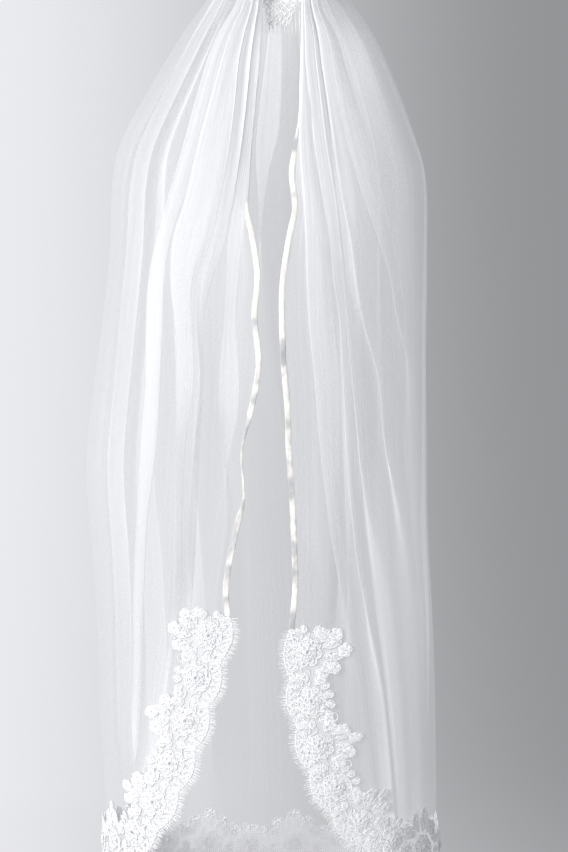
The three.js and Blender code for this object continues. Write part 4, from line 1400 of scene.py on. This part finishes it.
def rim(strip, flip):
    """The petals along the scallop, those behind them, the tendrils and the rim's cord."""
    for x in np.linspace(-28, 28, 9):
        lean = math.radians(-90 + 0.55 * x + rng.uniform(-6, 6))
        foot = float(scallop_at(x)) + 8.5
        petal(strip, x, foot, lean, length=8.8, width=6.8, height=0.2, dome=0.9, cord=0.75)
    for x in np.linspace(-27, 27, 7):
        lean = math.radians(90 - 0.8 * x + rng.uniform(-12, 12))
        length, foot = rng.uniform(8.5, 11), float(scallop_at(x)) + 7.5
        petal(strip, x, foot, lean, length, width=8.5, height=0.1, dome=0.9, cord=0.65)
    for points in TENDRILS:
        cord_along(strip, smooth_path(np.array(points) * (flip, 1), 20), radius=0.8, height=0.8)
    x = np.linspace(-31, 31, 25)
    edge = np.stack([x, scallop_at(x) + 0.8 + 0.8 * np.sin(x * 1.4)], -1)
    cord_along(strip, edge, radius=0.8, height=0.5)


def lace_motif(number):
    """One flower with all that is round it, at x = 0. Large and small motifs take turns."""
    strip = Strip()
    large = number % 2 == 0
    flip = -1 if number % 4 > 1 else 1
    middle = (rng.uniform(-2, 2), FLOWER_IN + rng.uniform(-1.5, 1.5))
    sprays(strip, large, flip)
    flower(
        strip, *middle, petals=7, inner=6.0, outer=20, width=13, height=0.4, turn=rng.uniform(0, 1))
    flower(
        strip, *middle, petals=6, inner=2.0, outer=11.5, width=8.5, height=1.8,
        turn=rng.uniform(0, 1), cord=0.7)
    round_cord(strip, *middle, radius=3.4, height=2.8)
    if not large:
        arched_cord(strip, *middle, radius=21.0, height=0.6, thick=0.9)
    rim(strip, flip)
    count, reach = SEQUINS["large" if large else "small"]
    for _ in range(count):  # each is held by a bead
        spot = rng.uniform(-27, 27), rng.uniform(2, reach)
        disc(strip, *spot, 1.5, 2.6, SEQUIN, rng.uniform(-0.25, 0.25, 2))
        disc(strip, *spot, 0.6, 3.0, BEAD, sides=6, dome=0.6)
    for angle in np.arange(BEAD_RING["beads"]) * 2 * math.pi / BEAD_RING["beads"]:
        x = middle[0] + BEAD_RING["radius"] * math.cos(angle)
        y = middle[1] + BEAD_RING["radius"] * math.sin(angle)
        disc(strip, x, y, 0.8, 3.0, BEAD, sides=6, dome=0.8)
    return strip


# %% The eyelash
LASH_PITCH = 1.25  # mm
LASH_LENGTH = (6.5, 10.5)  # mm


def fringe(strip, total, motifs):
    """Loose threads past the cut edge, all along the strip."""
    roots = np.arange(1.0, total - 1.0, LASH_PITCH)
    roots = roots + rng.uniform(-0.4, 0.4, len(roots))
    x = (roots / (total / motifs)) % 1 * MOTIF_PITCH - MOTIF_PITCH / 2
    base = scallop_at(x)
    reach = rng.uniform(*LASH_LENGTH, len(roots))
    slant = rng.uniform(-0.25, 0.25, len(roots)) + 0.012 * x
    lift = rng.uniform(-0.5, 2.5, len(roots))
    rows = []
    for t, width in ((0, 0.32), (0.5, 0.28), (1, 0.12)):  # a flat thread that narrows to its tip
        for side in (-1, 1):
            along = roots + slant * reach * t + side * width
            rows.append(np.stack([along, base + 1.5 - (reach + 1.5) * t, 0.5 + lift * t**1.5], -1))
    points = np.stack(rows, 1).reshape(-1, 3)
    first = np.arange(len(roots))[:, None] * 6
    faces = np.concatenate([first + [0, 1, 3, 2], first + [2, 3, 5, 4]])
    strip.add(points, faces, points[:, :2], CORD)


# %% [markdown]
# ## The finishes of the lace
# Embroidery thread is rayon: bright, with a little lustre, and worked in close rows. A
# plain white would lose the petals against each other, so the rows are a bump, a slow
# noise moves the tone, and small holes in the stitching let the net show through. The
# cord round each petal is whiter and thicker, and so it draws the outline. Sequins are
# clear film with a pearl coat, a small sharp glint with a hint of colour, and the beads
# are milky glass.

# %% Rayon, film and glass
EYELET_PITCH = 3.2  # mm between the small holes that are left in the stitching


def thread_material(name, dark, light, period, depth, holes):
    """Rayon embroidery thread: bright and a little lustrous, in rows of stitches period mm apart."""
    material, tree, shader = new_material(name)
    shader.inputs["Roughness"].default_value = 0.5
    shader.inputs["Sheen Weight"].default_value = 0.15
    flat = add_node(tree, "ShaderNodeUVMap", {"uv_map": "flat"}).outputs["UV"]
    rows = add_node(
        tree, "ShaderNodeTexWave", {"wave_profile": "SIN", "bands_direction": "X"},
        Vector=flat, Scale=WAVE_SCALE / (period * MM), Distortion=0.6, Detail=1.0)
    patches = add_node(
        tree, "ShaderNodeTexNoise", {"noise_dimensions": "2D"}, Vector=flat, Scale=260.0, Detail=2.0)
    height = add_node(
        tree, "ShaderNodeMath", {"operation": "MULTIPLY_ADD"},
        i0=patches.outputs[0], i1=0.6, i2=rows.outputs[0])
    bump = add_node(tree, "ShaderNodeBump", Strength=0.7, Distance=depth * MM, Height=height.outputs[0])
    tree.links.new(bump.outputs["Normal"], shader.inputs["Normal"])
    tone = add_node(
        tree, "ShaderNodeMix", {"data_type": "RGBA"},
        i0=patches.outputs[0], i6=linear(dark), i7=linear(light))
    tree.links.new(tone.outputs[2], shader.inputs["Base Color"])
    if holes:
        eyelets = add_node(
            tree, "ShaderNodeTexVoronoi", {"voronoi_dimensions": "2D"},
            Vector=flat, Scale=1 / (EYELET_PITCH * MM))
        solid = add_node(
            tree, "ShaderNodeMapRange",
            i0=eyelets.outputs["Distance"], i1=0.17, i2=0.3, i3=0.05, i4=1.0)
        tree.links.new(solid.outputs[0], shader.inputs["Alpha"])
    return material


satin_stitch = thread_material("satin-stitched rayon thread", "#E2E3E7", "#FCFCFD", 0.9, 0.25, True)
outline_cord = thread_material("twisted outline cord", "#F2F2F4", "#FFFFFF", 1.2, 0.3, False)

sequin_film, tree, shader = new_material("pearl sequin film")
shader.inputs["Roughness"].default_value = 0.18
shader.inputs["Metallic"].default_value = 0.35
shader.inputs["Coat Weight"].default_value = 0.6
place = add_node(tree, "ShaderNodeTexCoord").outputs["Object"]
shimmer = add_node(tree, "ShaderNodeTexNoise", Vector=place, Scale=180.0, Detail=1.0)
pearl = add_node(
    tree, "ShaderNodeMix", {"data_type": "RGBA"},
    i0=shimmer.outputs[0], i6=linear("#E9E6F2"), i7=linear("#F4F1E9"))
tree.links.new(pearl.outputs[2], shader.inputs["Base Color"])

seed_bead, tree, shader = new_material("milky glass seed bead")
shader.inputs["Roughness"].default_value = 0.12
place = add_node(tree, "ShaderNodeTexCoord").outputs["Object"]
milk = add_node(tree, "ShaderNodeTexNoise", Vector=place, Scale=300.0, Detail=1.0)
glass = add_node(
    tree, "ShaderNodeMix", {"data_type": "RGBA"},
    i0=milk.outputs[0], i6=linear("#D9DBE0"), i7=linear("#F4F4F6"))
tree.links.new(glass.outputs[2], shader.inputs["Base Color"])

# %% The net ground of the lace
GROUND_OPACITY = 0.38  # of one layer: it is closer than the veil's net
GROUND_IN = {"large": (47.0, 22.0), "small": (39.0, 8.0)}  # mm: at a motif's sides, more at its middle
GROUND_ROWS = 12  # rows of its mesh, and columns of it for each motif
ROUNDED_END = 26.0  # mm of the ground at a front edge
LACE_REACH = {  # the share of its reach that a length of lace has at its start, middle and end
    0: (1.0, 1.0, 1.0), 1: (1.0, 0.86, 0.66), 3: (0.66, 1.0, 1.0)}
REACH_OVER = 150.0  # mm of the hem over which it changes


def reach_share(along, total, start):
    """What part of its reach the lace has at a place along the strip that begins at a turn."""
    first, middle, last = LACE_REACH[start]
    rising, falling = ease(along / REACH_OVER), ease(1 - (total - along) / REACH_OVER)
    return first + (middle - first) * rising + (last - middle) * falling


def ground_strip(total, motifs, start):
    """The net that the lace is worked on, cut away round the motifs."""
    along = np.linspace(0.5, total - 0.5, motifs * GROUND_ROWS + 1)
    beat = np.minimum(along / total * motifs, motifs - 1e-6)
    x = (beat % 1 - 0.5) * MOTIF_PITCH
    rise = np.cos(np.pi * (beat % 1 - 0.5)) ** 0.8
    large, small = (sides + more * rise for sides, more in (GROUND_IN["large"], GROUND_IN["small"]))
    leaves = np.where((np.floor(beat) + start) % 2 == 0, large, small)
    leaves = np.convolve(np.pad(leaves, 1, "edge"), (0.25, 0.5, 0.25), "valid")
    leaves = leaves * reach_share(along, total, start)
    if start != 1:
        from_end = along if start == 0 else total - along
        leaves = leaves * np.sqrt(1 - (1 - np.clip(from_end / ROUNDED_END, 0.02, 1)) ** 2)
    down = np.linspace(0, 1, GROUND_ROWS)[:, None]
    inward = leaves + (scallop_at(x) + 0.6 - leaves) * down
    return np.stack([np.broadcast_to(along, inward.shape), inward, np.zeros(inward.shape)], -1)


net_ground = tulle_material("lace net ground", GROUND_OPACITY)

# %% Lay the three lengths of lace
END_REACH = 9.0  # mm: petals that lap over the ribbon's foot
JOIN = 0.4  # mm: half the gap where two lengths meet


def make_lace(name, start, end):
    """The lace between two turns: a row of motifs, the fringe and the ground, laid on the cloth."""
    total = float(hem_line(start, end)[1][-1])
    motifs = round(total / MOTIF_PITCH)
    strip = Strip()
    for i in range(motifs):
        points, faces, stitches, finishes = lace_motif(i + start).joined()
        points[:, 0] = total * (i + 0.5) / motifs + points[:, 0] * (total / motifs) / MOTIF_PITCH
        strip.add(points, faces, stitches, finishes)
    fringe(strip, total, motifs)
    points, faces, stitches, finishes = strip.joined()
    low = -END_REACH if start == 0 else JOIN
    high = total + END_REACH if end == 4 else total - JOIN
    points[:, 0] = np.clip(points[:, 0], low, high)
    inward = np.maximum(points[:, 1], 0)
    points[:, 1] -= inward * (1 - reach_share(points[:, 0], total, start))
    grounded = Strip()
    grounded.add(points, faces, stitches, finishes)
    ground = ground_strip(total, motifs, start)
    net = ground.reshape(-1, 3)
    grounded.add(net, grid_faces(*ground.shape[:2]), net[:, :2], GROUND)
    points, faces, stitches, finishes = grounded.joined()
    made = soft_piece(name, on_the_hem(start, end, points), faces.tolist(), stitches, finishes)
    keep_net(made, 1, 0)
    for finish in (satin_stitch, outline_cord, sequin_film, seed_bead, net_ground):
        made.data.materials.append(finish)
    print(name, "motifs:", motifs, "triangles:", 2 * len(faces))
    return made


for node, (start, end) in LENGTHS.items():
    piece = make_lace(node + "_worked", start, end)
    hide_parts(node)
    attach(piece, "root")
